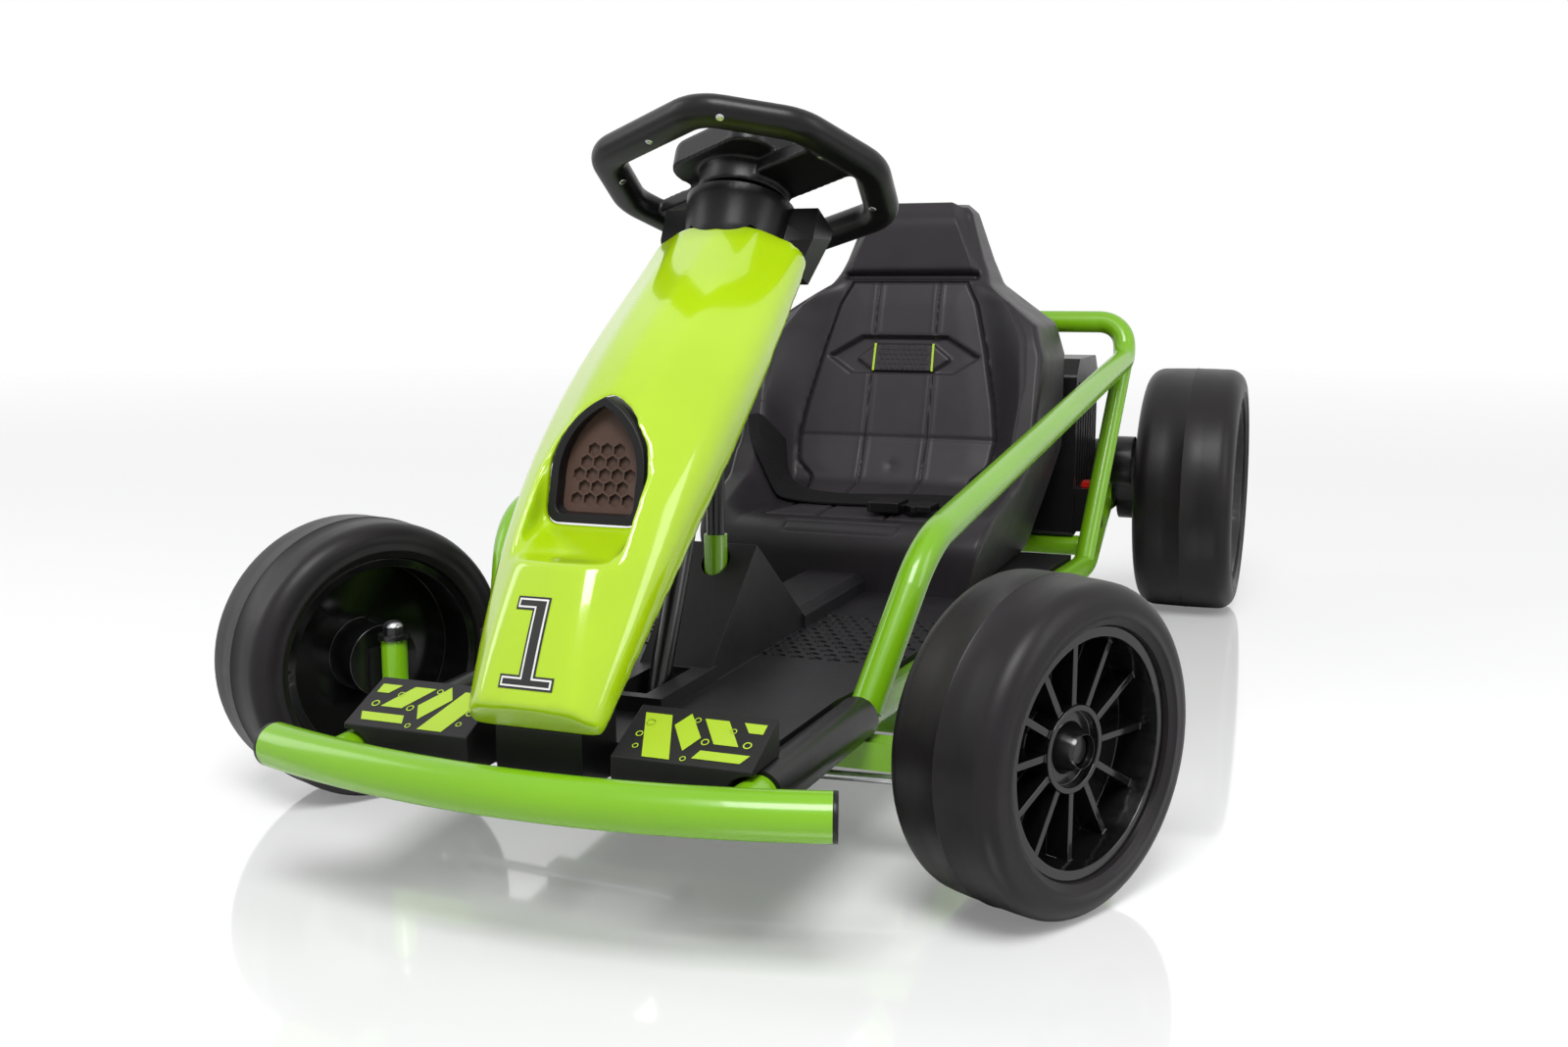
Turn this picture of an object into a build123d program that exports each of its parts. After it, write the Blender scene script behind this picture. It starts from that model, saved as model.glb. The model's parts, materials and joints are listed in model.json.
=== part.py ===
from build123d import *
from math import cos, radians, sin, sqrt
import os

# Electric drift kart for one child. Millimetres, +X to the driver's left, front towards -Y, +Z up.
# The origin is on the ground, half of the way from the bumper to the back of the rear tyres.
# Places named "back" are distances behind the front axle.

# Stance and wheels
WHEELBASE = 985.0
BUMPER_REACH = 237.0
FRONT_TRACK = 570.0
REAR_TRACK = 540.0
FRONT_TYRE_D = 220.0
FRONT_TYRE_W = 85.0
FRONT_RIM_R = 82.0
REAR_TYRE_D = 300.0
REAR_TYRE_W = 115.0
REAR_RIM_R = 114.0
KINGPIN_OFFSET = 50.0
STEER_REST_DEG = -26.0

# Brackets of the rear axle, inside the rear wheels' middle planes
BRACKET_INSET = 94.0
BRACKET_X = REAR_TRACK / 2 - BRACKET_INSET
BRACKET_T = 8.0
RAIL_TO_BRACKET = 10.0

# Fits and clearances
RUNNING_FIT = 0.05
SEAT_GAP = 0.3
PLAY = 0.5

# Frame tubes
RAIL_D = 25.0
RAIL_Z = 105.0
SLEEVE_D = 31.0
SLEEVE_ENDS = (-172.0, 2.0)
SIDE_TUBE_D = 24.0
BRACE_D = 20.0
CROSS_D = 22.0
HOOP_SPLIT = 150.0
HOOP_FRONT = 600.0
BUMPER_D = 30.0
BUMPER_WALL = 1.5
BUMPER_HALF = 193.0
BUMPER_BOW = 30.0
CAP_LIP = 3.0
CAP_PLUG = 15.0

# Columns: name, x of the left rail, back, height
RAIL_ROUTE = (
    ("bumper", 139.0, -200.0, RAIL_Z),
    ("sleeve end", 145.0, 22.0, RAIL_Z),
    ("brace foot", 193.0, 640.0, RAIL_Z),
    ("rear bracket", BRACKET_X - RAIL_TO_BRACKET, WHEELBASE - 45.0, 139.0),
)
RAIL_BENDS = (400.0, 300.0)

# Columns: name, x of the left tube, back, height
SIDE_ROUTE = (
    ("rail weld", 147.0, 12.0, 108.0),
    ("knee", 172.0, 74.0, 218.0),
    ("shoulder", 214.0, 742.0, 322.0),
    ("hoop corner", 208.0, 762.0, 362.0),
    ("hoop", 0.0, 762.0, 362.0),
)
SIDE_BENDS = (70.0, 30.0, 30.0)
BRACE_FOOT = (193.0, 640.0, 112.0)
BRACE_TOP = (214.0, 730.0, 318.0)

# Front axle beam, knuckles and tie rods
BEAM_SIDE = 20.0
HOUSING_D = 20.0
HOUSING_LOW = 68.0
HOUSING_HIGH = 130.0
KINGPIN_R = 5.0
WASHER_R = 12.0
WASHER_T = 4.0
NUT_R = 8.0
NUT_T = 6.0
WHEEL_NUT_R = 9.0
WHEEL_NUT_T = 6.0
NUT_ROOM = 2.0
PLATE_T = 7.0
PLATE_W = 26.0
UPRIGHT_T = 5.0
UPRIGHT_GAP = 2.0
UPRIGHT_ABOVE = 6.0
SPINDLE_R = 6.0
SPINDLE_REACH = 26.0
ARM_HALF = 8.0
ARM_LENGTH = 40.0
PIN_R = 4.0
EYE_R = 8.5
EYE_T = 7.0
EYE_DRIFT = 3.5
EYE_GAP = 2.0
HEAD_T = 2.5
ROD_R = 3.5

# Steering wheel and column
WHEEL_BACK = 162.0
WHEEL_Z = 499.0
COLUMN_DEG = 65.0
SHAFT_R = 8.0
SHAFT_SHORT = 1.0
DROP_ARM_Z = 66.0
DROP_ARM_T = 6.0
RING_DROP = 20.0
RING_TURN_DEG = -4.0
# Columns: half width, half height of a corner of the ring's centre line
RING_CORNERS = ((60.0, 94.0), (105.0, 36.0))
RING_BEND = 35.0
RING_W = 28.0
RING_DEPTH = 21.0
# Low and high edges of the two spokes
SPOKE_EDGES = (-30.0, 15.0)
SPOKE_T = 14.0
HUB_R = 36.0
HUB_LOW = -14.0
HUB_TOP = 6.0
# Columns: half width, edge towards the driver's lap, edge ahead, corner radius and top of the pad
PAD = (52.0, -38.0, 46.0, 22.0, 30.0)
PAD_EDGE = 7.0

# Floor pan, tower, footrests and pedal
FLOOR_TOP = 116.0
FLOOR_WALL = 4.0
FLOOR_FRONT = -140.0
FLOOR_REAR = 640.0
TOWER_HALF = 29.0
TOWER_FOOT = 0.0
TOWER_PEAK = (104.0, 204.0)
TOWER_HEEL = 225.0
TOWER_SKIN = (8.0, 8.0, 12.0)
SLOT_HALF = 14.0
SLOT_BACK = (-64.0, 10.0)
BOSS_SIDE = 16.0
BOSS_ENDS = (10.0, 12.0)
BOSS_TOP = 127.0
TUNNEL_HALF = 32.0
TUNNEL_TOP = 134.0
TUNNEL_EDGE = 7.0
TUNNEL_INTO_TOWER = 20.0
FOOTREST_X = (50.0, 142.0)
FOOTREST_BACK = (-188.0, -143.0)
FOOTREST_Z = (98.0, 124.0, 144.0)
FOOTREST_COPE = (-205.0, -130.0)
# Columns: low x, high x, rear face, top of a step of the pedal
PEDAL_STEPS = ((-172.0, -60.0, -20.0, 158.0), (-160.0, -60.0, 5.0, 170.0), (-150.0, -60.0, 30.0, 180.0))
PEDAL_STEP_DEPTH = 30.0
PEDAL_BACK = 60.0
PEDAL_STAND = 2.0
PEDAL_FOOT_X = (-118.0, -70.0)
PEDAL_FOOT_FRONT = -50.0
PEDAL_FOOT_T = 6.0
# Foot under the nose's chin: half width, front face, top, height above the beam
CHIN_FOOT = (30.0, -186.0, 148.0, 4.0)

# Post under the column, and the cover above the nose
STUB_BACK = 90.0
STUB_R = 9.0
STUB_TOP = 213.0
STUB_ROOM = 2.0
POST_R = 7.0
POST_LOW = 150.0
COLLAR_LENGTH = 34.0
COLLAR_WALL = 6.0
# Clearance planes beyond every piece, across and ahead of the kart
SIDE_REACH = 400.0
AHEAD = -230.0
# Low and high ends along the column from the wheel's place, then the radii there
SHROUD = (-96.0, -40.0, 37.0, 43.0)
# Side view of the housing behind the shroud, in columns: back, height
HOUSING_SIDE = ((120.0, 412.0), (144.0, 461.0), (179.0, 445.0), (152.0, 403.0))
# Half of its front view, in columns: x, height
HOUSING_HALF = ((0.0, 400.0), (52.0, 400.0), (64.0, 438.0), (64.0, 470.0), (0.0, 470.0))
BULKHEAD = (0.955, 4.0)

# Nose: a hood over the column, measured along and square to its lower edge
NOSE_START = (-188.0, 134.0)
NOSE_END = (130.0, 418.0)
NOSE_WALL = 3.0
NOSE_DROP = 30.0
# Columns: share of the nose's length, lower edge, ridge, half width, half width of the crown, ridge's rise
NOSE_SECTIONS = (
    (0.0, -2.0, 26.0, 46.0, 32.0, 1.0),
    (0.14, 6.0, 50.0, 54.0, 28.0, 2.0),
    (0.46, 12.0, 76.0, 66.0, 24.0, 5.0),
    (0.78, 5.0, 60.0, 66.0, 28.0, 5.0),
    (1.0, 0.0, 43.0, 62.0, 30.0, 4.0),
)
NOSE_SHOULDER = 0.45
NOSE_ROUND = 0.45

# Scoop in the nose's crown, in heights from the ground
SCOOP_LOW = 250.0
SCOOP_SPRING = 276.0
SCOOP_TOP = 331.0
SCOOP_HALF = 34.0
SCOOP_CORNER = 9.0
# Side view of its ledge and of its opening's plane, in columns: back, height
SCOOP_SIDE = ((-141.0, 237.0), (-110.0, 249.0), (-88.0, 334.0))
SCOOP_WALL = 3.0
SCOOP_LIP = (8.0, 3.0)
BEZEL_W = 6.0
BEZEL_DEPTH = 15.0
BEZEL_STAND = 1.5
CELL_R = 4.6
CELL_WEB = 1.3
CELL_DEPTH = 3.0
MESH_T = 4.5
MESH_BACK = 9.0
MESH_ROWS = 8
MESH_COLUMNS = 3
MESH_FOOT = 14.0
MESH_EDGE = 6.0
# How fast the rows narrow above the spring line, and how far above it they start to
MESH_TAPER = (0.75, 4.0)

# Seat
SEAT_FRONT = 372.0
SEAT_HALF = 162.0
SEAT_ROUND = 8.0
PAD_HALF = 104.0
PAD_DEPTH = 16.0
# Shares of the pads' depth by which their seat moves back under the thighs, and down behind the back
PAD_BACKWARDS = 0.5
PAD_DOWNWARDS = 0.35

# Rear: axle, brackets, gearboxes, cover and battery
AXLE_R = 8.0
AXLE_REACH = REAR_TYRE_W / 2 - 12.0
AXLE_NUT_R = 12.0
AXLE_NUT_T = 8.0
# Outline of a bracket, in columns: behind the axle, height
BRACKET_SIDE = ((-80.0, 128.0), (-80.0, 160.0), (-17.0, 176.0), (18.0, 176.0), (23.0, 126.0))
# The motor's axis, in columns: ahead of the rear axle, height
MOTOR_AHEAD = 80.0
MOTOR_Z = 190.0
MOTOR_R = 26.0
MOTOR_LENGTH = 70.0
GEAR_SMALL_R = 30.0
GEAR_LARGE_R = 42.0
GEARBOX_GAP = 6.0
GEAR_INSET = 2.0
COVER_HALF = 168.0
COVER_BACK = (706.0, 846.0)
COVER_TOP = 322.0
COVER_WALL = 4.0
COVER_BEVEL = 18.0
COVER_ROUND = 6.0
LOUVRE_COUNT = 8
LOUVRE_FIRST = 14.0
LOUVRE_PITCH = 16.0
LOUVRE_W = 7.0
LOUVRE_DEPTH = 2.0
LOUVRE_Z = (160.0, 296.0)
BATTERY_GAP = 12.0
BATTERY_HALF = 140.0
BATTERY_TOP = 225.0
# Switch box on the cover's left side, and the rocker on its top
SWITCH_BACK = 740.0
BOX_W = 24.0
BOX_LENGTH = 48.0
BOX_TOP = 178.0
BOX_STAND = 2.0
ROCKER_W = 16.0
ROCKER_LENGTH = 24.0
ROCKER_RISE = 6.0
CROSS_BACK = (716.0, 836.0, WHEELBASE - 55.0)

LENGTH = BUMPER_REACH + WHEELBASE + REAR_TYRE_D / 2
FRONT_AXLE_Y = BUMPER_REACH - LENGTH / 2
FRONT_AXLE_Z = FRONT_TYRE_D / 2
REAR_AXLE_Z = REAR_TYRE_D / 2
KINGPIN_X = FRONT_TRACK / 2 - KINGPIN_OFFSET
BEAM_TOP = RAIL_Z - RAIL_D / 2
DROP_EYE_ALONG = DROP_ARM_T / 2 + EYE_DRIFT + EYE_T / 2
COLUMN_DIR = Vector(0, cos(radians(COLUMN_DEG)), sin(radians(COLUMN_DEG)))


def at(x, back, z):
    """A point given by its distance behind the front axle."""
    return Vector(x, FRONT_AXLE_Y + back, z)


WHEEL_CENTRE = at(0, WHEEL_BACK, WHEEL_Z)


def column_point(z):
    """The point of the steering column's axis at a height."""
    return WHEEL_CENTRE - COLUMN_DIR * ((WHEEL_Z - z) / COLUMN_DIR.Z)


def column_frame(origin, turn=STEER_REST_DEG):
    """A frame on the column: local X to the driver's right, Y up, Z to the driver, then turned."""
    plane = Plane(origin=origin, x_dir=(-1, 0, 0), z_dir=COLUMN_DIR)
    return plane.location * Rot(0, 0, turn)


def tube(points, bends, diameter, wall=0):
    """Round tube along straight runs joined by arcs, solid when it has no wall."""
    path = FilletPolyline(*points, radius=list(bends))
    start = Plane(origin=path @ 0, z_dir=path % 0)
    section = Circle(diameter / 2)
    if wall:
        section -= Circle(diameter / 2 - wall)
    return sweep(start * section, path=path)


def around(middle, size):
    """Low and high values of a size about a middle."""
    return middle - size / 2, middle + size / 2


def rod(start, end, radius):
    """Round bar from one point to another."""
    axis = end - start
    return extrude(Plane(origin=start, z_dir=axis) * Circle(radius), axis.length)


def block(x, y, z):
    """Block between low and high values on each axis."""
    size = [high - low for low, high in (x, y, z)]
    centre = [(low + high) / 2 for low, high in (x, y, z)]
    return Pos(*centre) * Box(*size)


def back_block(x, back, z):
    """Block whose second pair of values counts from the front axle."""
    return block(x, [FRONT_AXLE_Y + value for value in back], z)


def side_profile(points, x_low, x_high, radius=0.0):
    """Prism across the kart with an outline of (back, height) points, its corners rounded if asked."""
    outline = [(FRONT_AXLE_Y + back, z) for back, z in points]
    face = make_face(Polyline(*outline, close=True))
    if radius:
        face = fillet(face.vertices(), radius)
    return extrude(Plane.YZ.offset(x_low) * face, x_high - x_low)


def plan_profile(points, z_low, z_high):
    """Prism upwards with an outline of (x, back) points, repeated on the right."""
    right = [(-x, back) for x, back in reversed(points)]
    outline = [(x, FRONT_AXLE_Y + back) for x, back in list(points) + right]
    face = Plane.XY.offset(z_low) * make_face(Polyline(*outline, close=True))
    return extrude(face, z_high - z_low)


def front_prism(face, back_low, back_high):
    """Prism along the kart with a face drawn as (x, height)."""
    plane = Plane(origin=(0, FRONT_AXLE_Y + back_low, 0), x_dir=(1, 0, 0), z_dir=(0, -1, 0))
    return extrude(plane * face, -(back_high - back_low))


def front_profile(points, back_low, back_high, radius=0.0):
    """Prism along the kart with an outline of (x, height) points, repeated on the right."""
    right = [(-x, z) for x, z in reversed(points) if x > 0]
    face = make_face(Polyline(*(list(points) + right), close=True))
    if radius:
        face = fillet([corner for corner in face.vertices() if abs(corner.X) > radius], radius)
    return front_prism(face, back_low, back_high)


def other_side(part):
    return mirror(part, about=Plane.YZ)


# Frame

def rail():
    """Lower rail, coped to the back of the bumper."""
    return tube([at(*row[1:]) for row in RAIL_ROUTE], RAIL_BENDS, RAIL_D) - bumper_solid()


def rail_at(back):
    """The left rail's x and height at a distance behind the front axle."""
    for near, far in zip(RAIL_ROUTE, RAIL_ROUTE[1:]):
        if back <= far[2]:
            share = (back - near[2]) / (far[2] - near[2])
            return near[1] + share * (far[1] - near[1]), near[3] + share * (far[3] - near[3])
    return RAIL_ROUTE[-1][1], RAIL_ROUTE[-1][3]


def sleeve():
    ends = [at(rail_at(back)[0], back, RAIL_Z) for back in SLEEVE_ENDS]
    return rod(*ends, SLEEVE_D / 2) - rod(*ends, RAIL_D / 2) - front_beam() - half_hoop()


def half_hoop():
    """The bent tube from the rail's weld to the middle of the hoop, on the left."""
    return tube([at(*row[1:]) for row in SIDE_ROUTE], SIDE_BENDS, SIDE_TUBE_D) - rail()


def hoop_room():
    """The space between the side tubes that belongs to the hoop."""
    return back_block((-HOOP_SPLIT, HOOP_SPLIT), (HOOP_FRONT, WHEELBASE), (RAIL_Z, WHEEL_Z))


def side_tube():
    return half_hoop() - hoop_room()


def rear_hoop():
    left = half_hoop() & hoop_room()
    return left + other_side(left)


def brace():
    return rod(at(*BRACE_FOOT), at(*BRACE_TOP), BRACE_D / 2) - rail() - half_hoop()


def bumper_path():
    end = Vector(BUMPER_HALF, FRONT_AXLE_Y - BUMPER_REACH + BUMPER_D / 2 + BUMPER_BOW, RAIL_Z)
    middle = Vector(0, end.Y - BUMPER_BOW, RAIL_Z)
    return ThreePointArc(Vector(-end.X, end.Y, end.Z), middle, end)


def bumper_end(left, radius, depth, lip):
    """A round plug at one end of the bumper, from a depth inside to a lip outside."""
    path = bumper_path()
    place = 1 if left else 0
    out = path % place * (1 if left else -1)
    origin = path @ place - out * depth
    return extrude(Plane(origin=origin, z_dir=out) * Circle(radius), depth + lip)


def bumper(wall=BUMPER_WALL):
    path = bumper_path()
    section = Circle(BUMPER_D / 2)
    if wall:
        section -= Circle(BUMPER_D / 2 - wall)
    return sweep(Plane(origin=path @ 0, z_dir=path % 0) * section, path=path)


def bumper_solid():
    return bumper(wall=0)


def bumper_caps():
    bore = BUMPER_D / 2 - BUMPER_WALL - SEAT_GAP
    caps = []
    for left in (True, False):
        cap = bumper_end(left, BUMPER_D / 2, 0, CAP_LIP) + bumper_end(left, bore, CAP_PLUG, 0)
        caps.append(cap)
    return caps[0] + caps[1]


def front_beam():
    beam = block((-KINGPIN_X, KINGPIN_X), (FRONT_AXLE_Y - BEAM_SIDE / 2, FRONT_AXLE_Y + BEAM_SIDE / 2),
                 (BEAM_TOP - BEAM_SIDE, BEAM_TOP))
    for side in (-1, 1):
        ends = (at(side * KINGPIN_X, 0, HOUSING_LOW), at(side * KINGPIN_X, 0, HOUSING_HIGH))
        beam += rod(*ends, HOUSING_D / 2)
        beam -= rod(*ends, KINGPIN_R + RUNNING_FIT)
    return beam


def rear_frame():
    """Cross tubes between the rails and the two brackets that hold the rear axle."""
    frame = Part()
    for back in CROSS_BACK:
        x, z = rail_at(back)
        frame += rod(at(-x, back, z), at(x, back, z), CROSS_D / 2)
    rails = rail()
    frame = frame - rails - other_side(rails)
    plate = side_profile([(WHEELBASE + back, z) for back, z in BRACKET_SIDE],
                         BRACKET_X - BRACKET_T / 2, BRACKET_X + BRACKET_T / 2)
    frame = frame + plate + other_side(plate)
    frame = frame - rails - other_side(rails)
    axle = at(0, WHEELBASE, REAR_AXLE_Z)
    across = Vector(SIDE_REACH, 0, 0)
    return frame - rod(axle - across, axle + across, AXLE_R + RUNNING_FIT)


# Floor

def floor_outline(inset):
    """Points (x, back) of the tray's left edge, beside the sleeve and then beside the rail."""
    sleeve_end = SLEEVE_ENDS[1]
    beside_sleeve = SLEEVE_D / 2 + inset
    beside_rail = RAIL_D / 2 + inset + PLAY
    rows = ((FLOOR_FRONT, beside_sleeve), (sleeve_end + 2, beside_sleeve), (RAIL_ROUTE[1][2], beside_rail),
            (FLOOR_REAR, beside_rail))
    return [(rail_at(back)[0] - room, back) for back, room in rows]


def floor_pan():
    """Moulded tray between the rails, with the tower for the column's post and the seat's tunnel."""
    skirt_low = BEAM_TOP
    tray = plan_profile(floor_outline(1.0), skirt_low, FLOOR_TOP)
    inner = plan_profile([(x - FLOOR_WALL, back) for x, back in floor_outline(1.0)],
                         skirt_low, FLOOR_TOP - FLOOR_WALL)
    inner &= back_block((-SIDE_REACH, SIDE_REACH), (FLOOR_FRONT + FLOOR_WALL, FLOOR_REAR - FLOOR_WALL),
                        (0, FLOOR_TOP))
    pan = tray - inner
    beam = block((-KINGPIN_X, KINGPIN_X), (FRONT_AXLE_Y - BEAM_SIDE, FRONT_AXLE_Y + BEAM_SIDE),
                 (BEAM_TOP, FLOOR_TOP - FLOOR_WALL / 2))
    rib = beam & plan_profile(floor_outline(1.0), skirt_low, FLOOR_TOP)
    tower = side_profile(((TOWER_FOOT, FLOOR_TOP), TOWER_PEAK, (TOWER_HEEL, FLOOR_TOP)),
                         -TOWER_HALF, TOWER_HALF)
    front_skin, top_skin, rear_skin = TOWER_SKIN
    hollow_half = TOWER_HALF - FLOOR_WALL
    hollow = side_profile(((TOWER_FOOT + front_skin, skirt_low), (TOWER_PEAK[0], TOWER_PEAK[1] - top_skin),
                           (TOWER_HEEL - rear_skin, skirt_low)), -hollow_half, hollow_half)
    tunnel = front_profile(((TUNNEL_HALF, FLOOR_TOP - 1), (TUNNEL_HALF, TUNNEL_TOP - TUNNEL_EDGE),
                            (TUNNEL_HALF - TUNNEL_EDGE, TUNNEL_TOP)),
                           TOWER_HEEL - TUNNEL_INTO_TOWER, SEAT_FRONT - SEAT_GAP)
    boss = back_block((-SLOT_HALF - BOSS_SIDE, SLOT_HALF + BOSS_SIDE),
                      (SLOT_BACK[0] - BOSS_ENDS[0], SLOT_BACK[1] + BOSS_ENDS[1]), (FLOOR_TOP - 1, BOSS_TOP))
    slot = back_block((-SLOT_HALF, SLOT_HALF), SLOT_BACK, (0, BOSS_TOP + 1))
    stub_room = rod(at(0, STUB_BACK, 0), at(0, STUB_BACK, STUB_TOP), STUB_R + STUB_ROOM)
    return pan + rib + tower - hollow + tunnel + boss - slot - stub_room


def footrests():
    low, front, rear = FOOTREST_Z
    near, far = FOOTREST_BACK
    left = side_profile(((near, low), (near, front), (far, rear), (far, low)), *FOOTREST_X)
    left -= rod(*[at(rail_at(back)[0], back, RAIL_Z) for back in FOOTREST_COPE], SLEEVE_D / 2 + SEAT_GAP)
    return left + other_side(left)


def pedal():
    """Stepped pedal block on the right, on a foot that stands on the floor."""
    steps = Part()
    for x_low, x_high, back, top in PEDAL_STEPS:
        front = back - PEDAL_STEP_DEPTH
        steps += back_block((x_low, x_high), (front, PEDAL_BACK), (FLOOR_TOP + PEDAL_STAND, top))
    steps &= plan_profile(floor_outline(2.0), FLOOR_TOP, WHEEL_Z)
    foot = back_block(PEDAL_FOOT_X, (PEDAL_FOOT_FRONT, PEDAL_BACK), (FLOOR_TOP, FLOOR_TOP + PEDAL_FOOT_T))
    return steps + foot


# Column support

def mid_beam():
    """Cross beam under the rails, with the green socket that stands up through the tower."""
    half = rail_at(STUB_BACK)[0]
    beam = back_block((-half, half), (STUB_BACK - BEAM_SIDE / 2, STUB_BACK + BEAM_SIDE / 2),
                      (BEAM_TOP - BEAM_SIDE, BEAM_TOP))
    beam += rod(at(0, STUB_BACK, BEAM_TOP - 1), at(0, STUB_BACK, STUB_TOP), STUB_R)
    return beam - rod(at(0, STUB_BACK, POST_LOW), at(0, STUB_BACK, STUB_TOP + 1), POST_R + RUNNING_FIT)


def column_post():
    """Black post clamped in the socket, with the collar that the steering shaft turns in."""
    crossing = column_point(WHEEL_Z - (WHEEL_BACK - STUB_BACK) * COLUMN_DIR.Z / COLUMN_DIR.Y)
    post = rod(at(0, STUB_BACK, POST_LOW), crossing, POST_R)
    half = COLUMN_DIR * (COLLAR_LENGTH / 2)
    collar = rod(crossing - half, crossing + half, SHAFT_R + COLLAR_WALL)
    return post + collar - rod(crossing - half * 4, crossing + half * 4, SHAFT_R + RUNNING_FIT)


def column_shroud():
    """Black cover between the nose's upper end and the steering wheel's hub."""
    frame = column_frame(WHEEL_CENTRE, 0)
    low, high, narrow, wide = SHROUD
    shroud = frame * Pos(0, 0, (low + high) / 2) * Cone(narrow, wide, high - low)
    housing = side_profile(HOUSING_SIDE, -SIDE_REACH, SIDE_REACH)
    shroud += housing & front_profile(HOUSING_HALF, 0.0, SEAT_FRONT)
    share, thickness = BULKHEAD
    slab = nose_location(share) * Box(SIDE_REACH, SIDE_REACH, thickness)
    shroud += slab & nose_solid(NOSE_WALL)
    shroud -= frame * Pos(0, 0, low) * Cylinder(SHAFT_R + RUNNING_FIT, 4 * (high - low))
    return shroud - nose_cone()


# Nose

def nose_location(share):
    """Frame at a share of the nose's length: local X across, Y square to its lower edge."""
    start = at(0, *NOSE_START)
    along = at(0, *NOSE_END) - start
    return Plane(origin=start + along * share, x_dir=(1, 0, 0), z_dir=along * -1).location


def nose_section(row, inset, drop):
    """One cross section on its own plane, an exact offset inwards and open below by the drop."""
    share, low, ridge, half, flat, rise = row
    height = ridge - low
    shoulder = low + NOSE_SHOULDER * height
    left = [(-half, low - drop), (-half, shoulder), (-flat, ridge - rise)]
    right = [(-x, y) for x, y in reversed(left)]
    face = make_face(Polyline(*left, (0, ridge), *right, close=True))
    if inset:
        face = offset(face, -inset, kind=Kind.INTERSECTION).face()
    bends = [v for v in face.vertices() if v.Y > low - drop + inset + 1 and abs(v.X) > 1]
    face = fillet(bends, NOSE_ROUND * height - inset)
    return nose_location(share) * face


def nose_solid(inset=0.0, drop=0.0):
    return loft([nose_section(row, inset, drop) for row in NOSE_SECTIONS])


def nose_core(inset, wall=0.0):
    """What is cut out of the nose to leave a skin, past its upper end and up to a wall at its lower end."""
    core = nose_solid(inset, NOSE_DROP)
    core += extrude(nose_section(NOSE_SECTIONS[-1], inset, NOSE_DROP), -NOSE_DROP)
    if wall:
        return core - nose_location(0) * Pos(0, 0, -wall / 2) * Box(SIDE_REACH, SIDE_REACH, wall)
    return core + extrude(nose_section(NOSE_SECTIONS[0], inset, NOSE_DROP), NOSE_DROP)


def scoop_arch(inset, low=SCOOP_LOW):
    """The scoop's outline seen from ahead, inset on all its sides, down to a height."""
    half = SCOOP_HALF - inset
    top = SCOOP_TOP - inset
    bulge = (0.74 * half, SCOOP_SPRING + 0.62 * (top - SCOOP_SPRING))
    base = low + inset
    outline = Polyline((-half, SCOOP_SPRING), (-half, base), (half, base), (half, SCOOP_SPRING))
    outline += ThreePointArc((half, SCOOP_SPRING), bulge, (0, top))
    outline += ThreePointArc((0, top), (-bulge[0], bulge[1]), (-half, SCOOP_SPRING))
    face = make_face(outline)
    return fillet(face.vertices().group_by(Axis.Y)[0], SCOOP_CORNER - inset / 2)


def scoop_slab(near, far):
    """All that lies between two planes parallel to the scoop's opening, at depths behind it."""
    foot = at(0, *SCOOP_SIDE[1])
    head = at(0, *SCOOP_SIDE[2])
    plane = Plane(origin=foot, x_dir=(1, 0, 0), z_dir=(head - foot).cross(Vector(1, 0, 0)))
    side = 1 if plane.z_dir.Y > 0 else -1
    return plane.location * Pos(0, 0, side * (near + far) / 2) * Box(SIDE_REACH, SIDE_REACH, far - near)


def scoop_pocket(grow=0.0):
    """The dent in the crown ahead of the opening's plane, grown for the wall around it."""
    lip, foot, head = SCOOP_SIDE
    lip_ahead, lip_down = SCOOP_LIP
    low = lip[1] - grow - lip_down
    outline = ((lip[0] - lip_ahead, low), (foot[0] + grow, foot[1] - grow), (head[0] + grow, head[1] + grow),
               (AHEAD, head[1] + grow), (AHEAD, low))
    arch = scoop_arch(-lip_down - grow, lip[1] - lip_ahead)
    return side_profile(outline, -SIDE_REACH, SIDE_REACH) & front_prism(arch, AHEAD, 0.0)


def nose_cone():
    """Hollow hood with a dent for the scoop in its crown."""
    outer = nose_solid()
    shell = outer - nose_core(NOSE_WALL, NOSE_WALL)
    tub = scoop_pocket(SCOOP_WALL) & outer
    return shell + tub - scoop_pocket() - front_prism(scoop_arch(0.0), AHEAD, 0.0)


def scoop_bezel():
    ring = front_prism(scoop_arch(SEAT_GAP), AHEAD, 0.0) - front_prism(scoop_arch(BEZEL_W), AHEAD, 0.0)
    return ring & scoop_slab(-BEZEL_STAND, BEZEL_DEPTH)


def scoop_mesh():
    """Honeycomb of six-sided pockets in a plate that fills the bezel."""
    plate = front_prism(scoop_arch(BEZEL_W), AHEAD, 0.0) & scoop_slab(MESH_BACK, MESH_BACK + MESH_T)
    pitch = sqrt(3) * CELL_R + CELL_WEB
    cell = RegularPolygon(CELL_R, 6, rotation=30)
    cells = Sketch()
    taper, taper_from = MESH_TAPER
    for row in range(MESH_ROWS):
        shift = 0.5 * (row % 2)
        for column in range(-MESH_COLUMNS, MESH_COLUMNS + 1):
            x = (column + shift) * pitch
            z = SCOOP_LOW + MESH_FOOT + row * pitch * sqrt(3) / 2
            narrowed = max(0.0, taper * (z - SCOOP_SPRING - taper_from))
            if abs(x) < SCOOP_HALF - BEZEL_W - MESH_EDGE - narrowed:
                cells += Pos(x, z) * cell
    pockets = front_prism(cells, AHEAD, 0.0) & scoop_slab(MESH_BACK - 1.0, MESH_BACK + CELL_DEPTH)
    return plate - pockets


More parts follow.
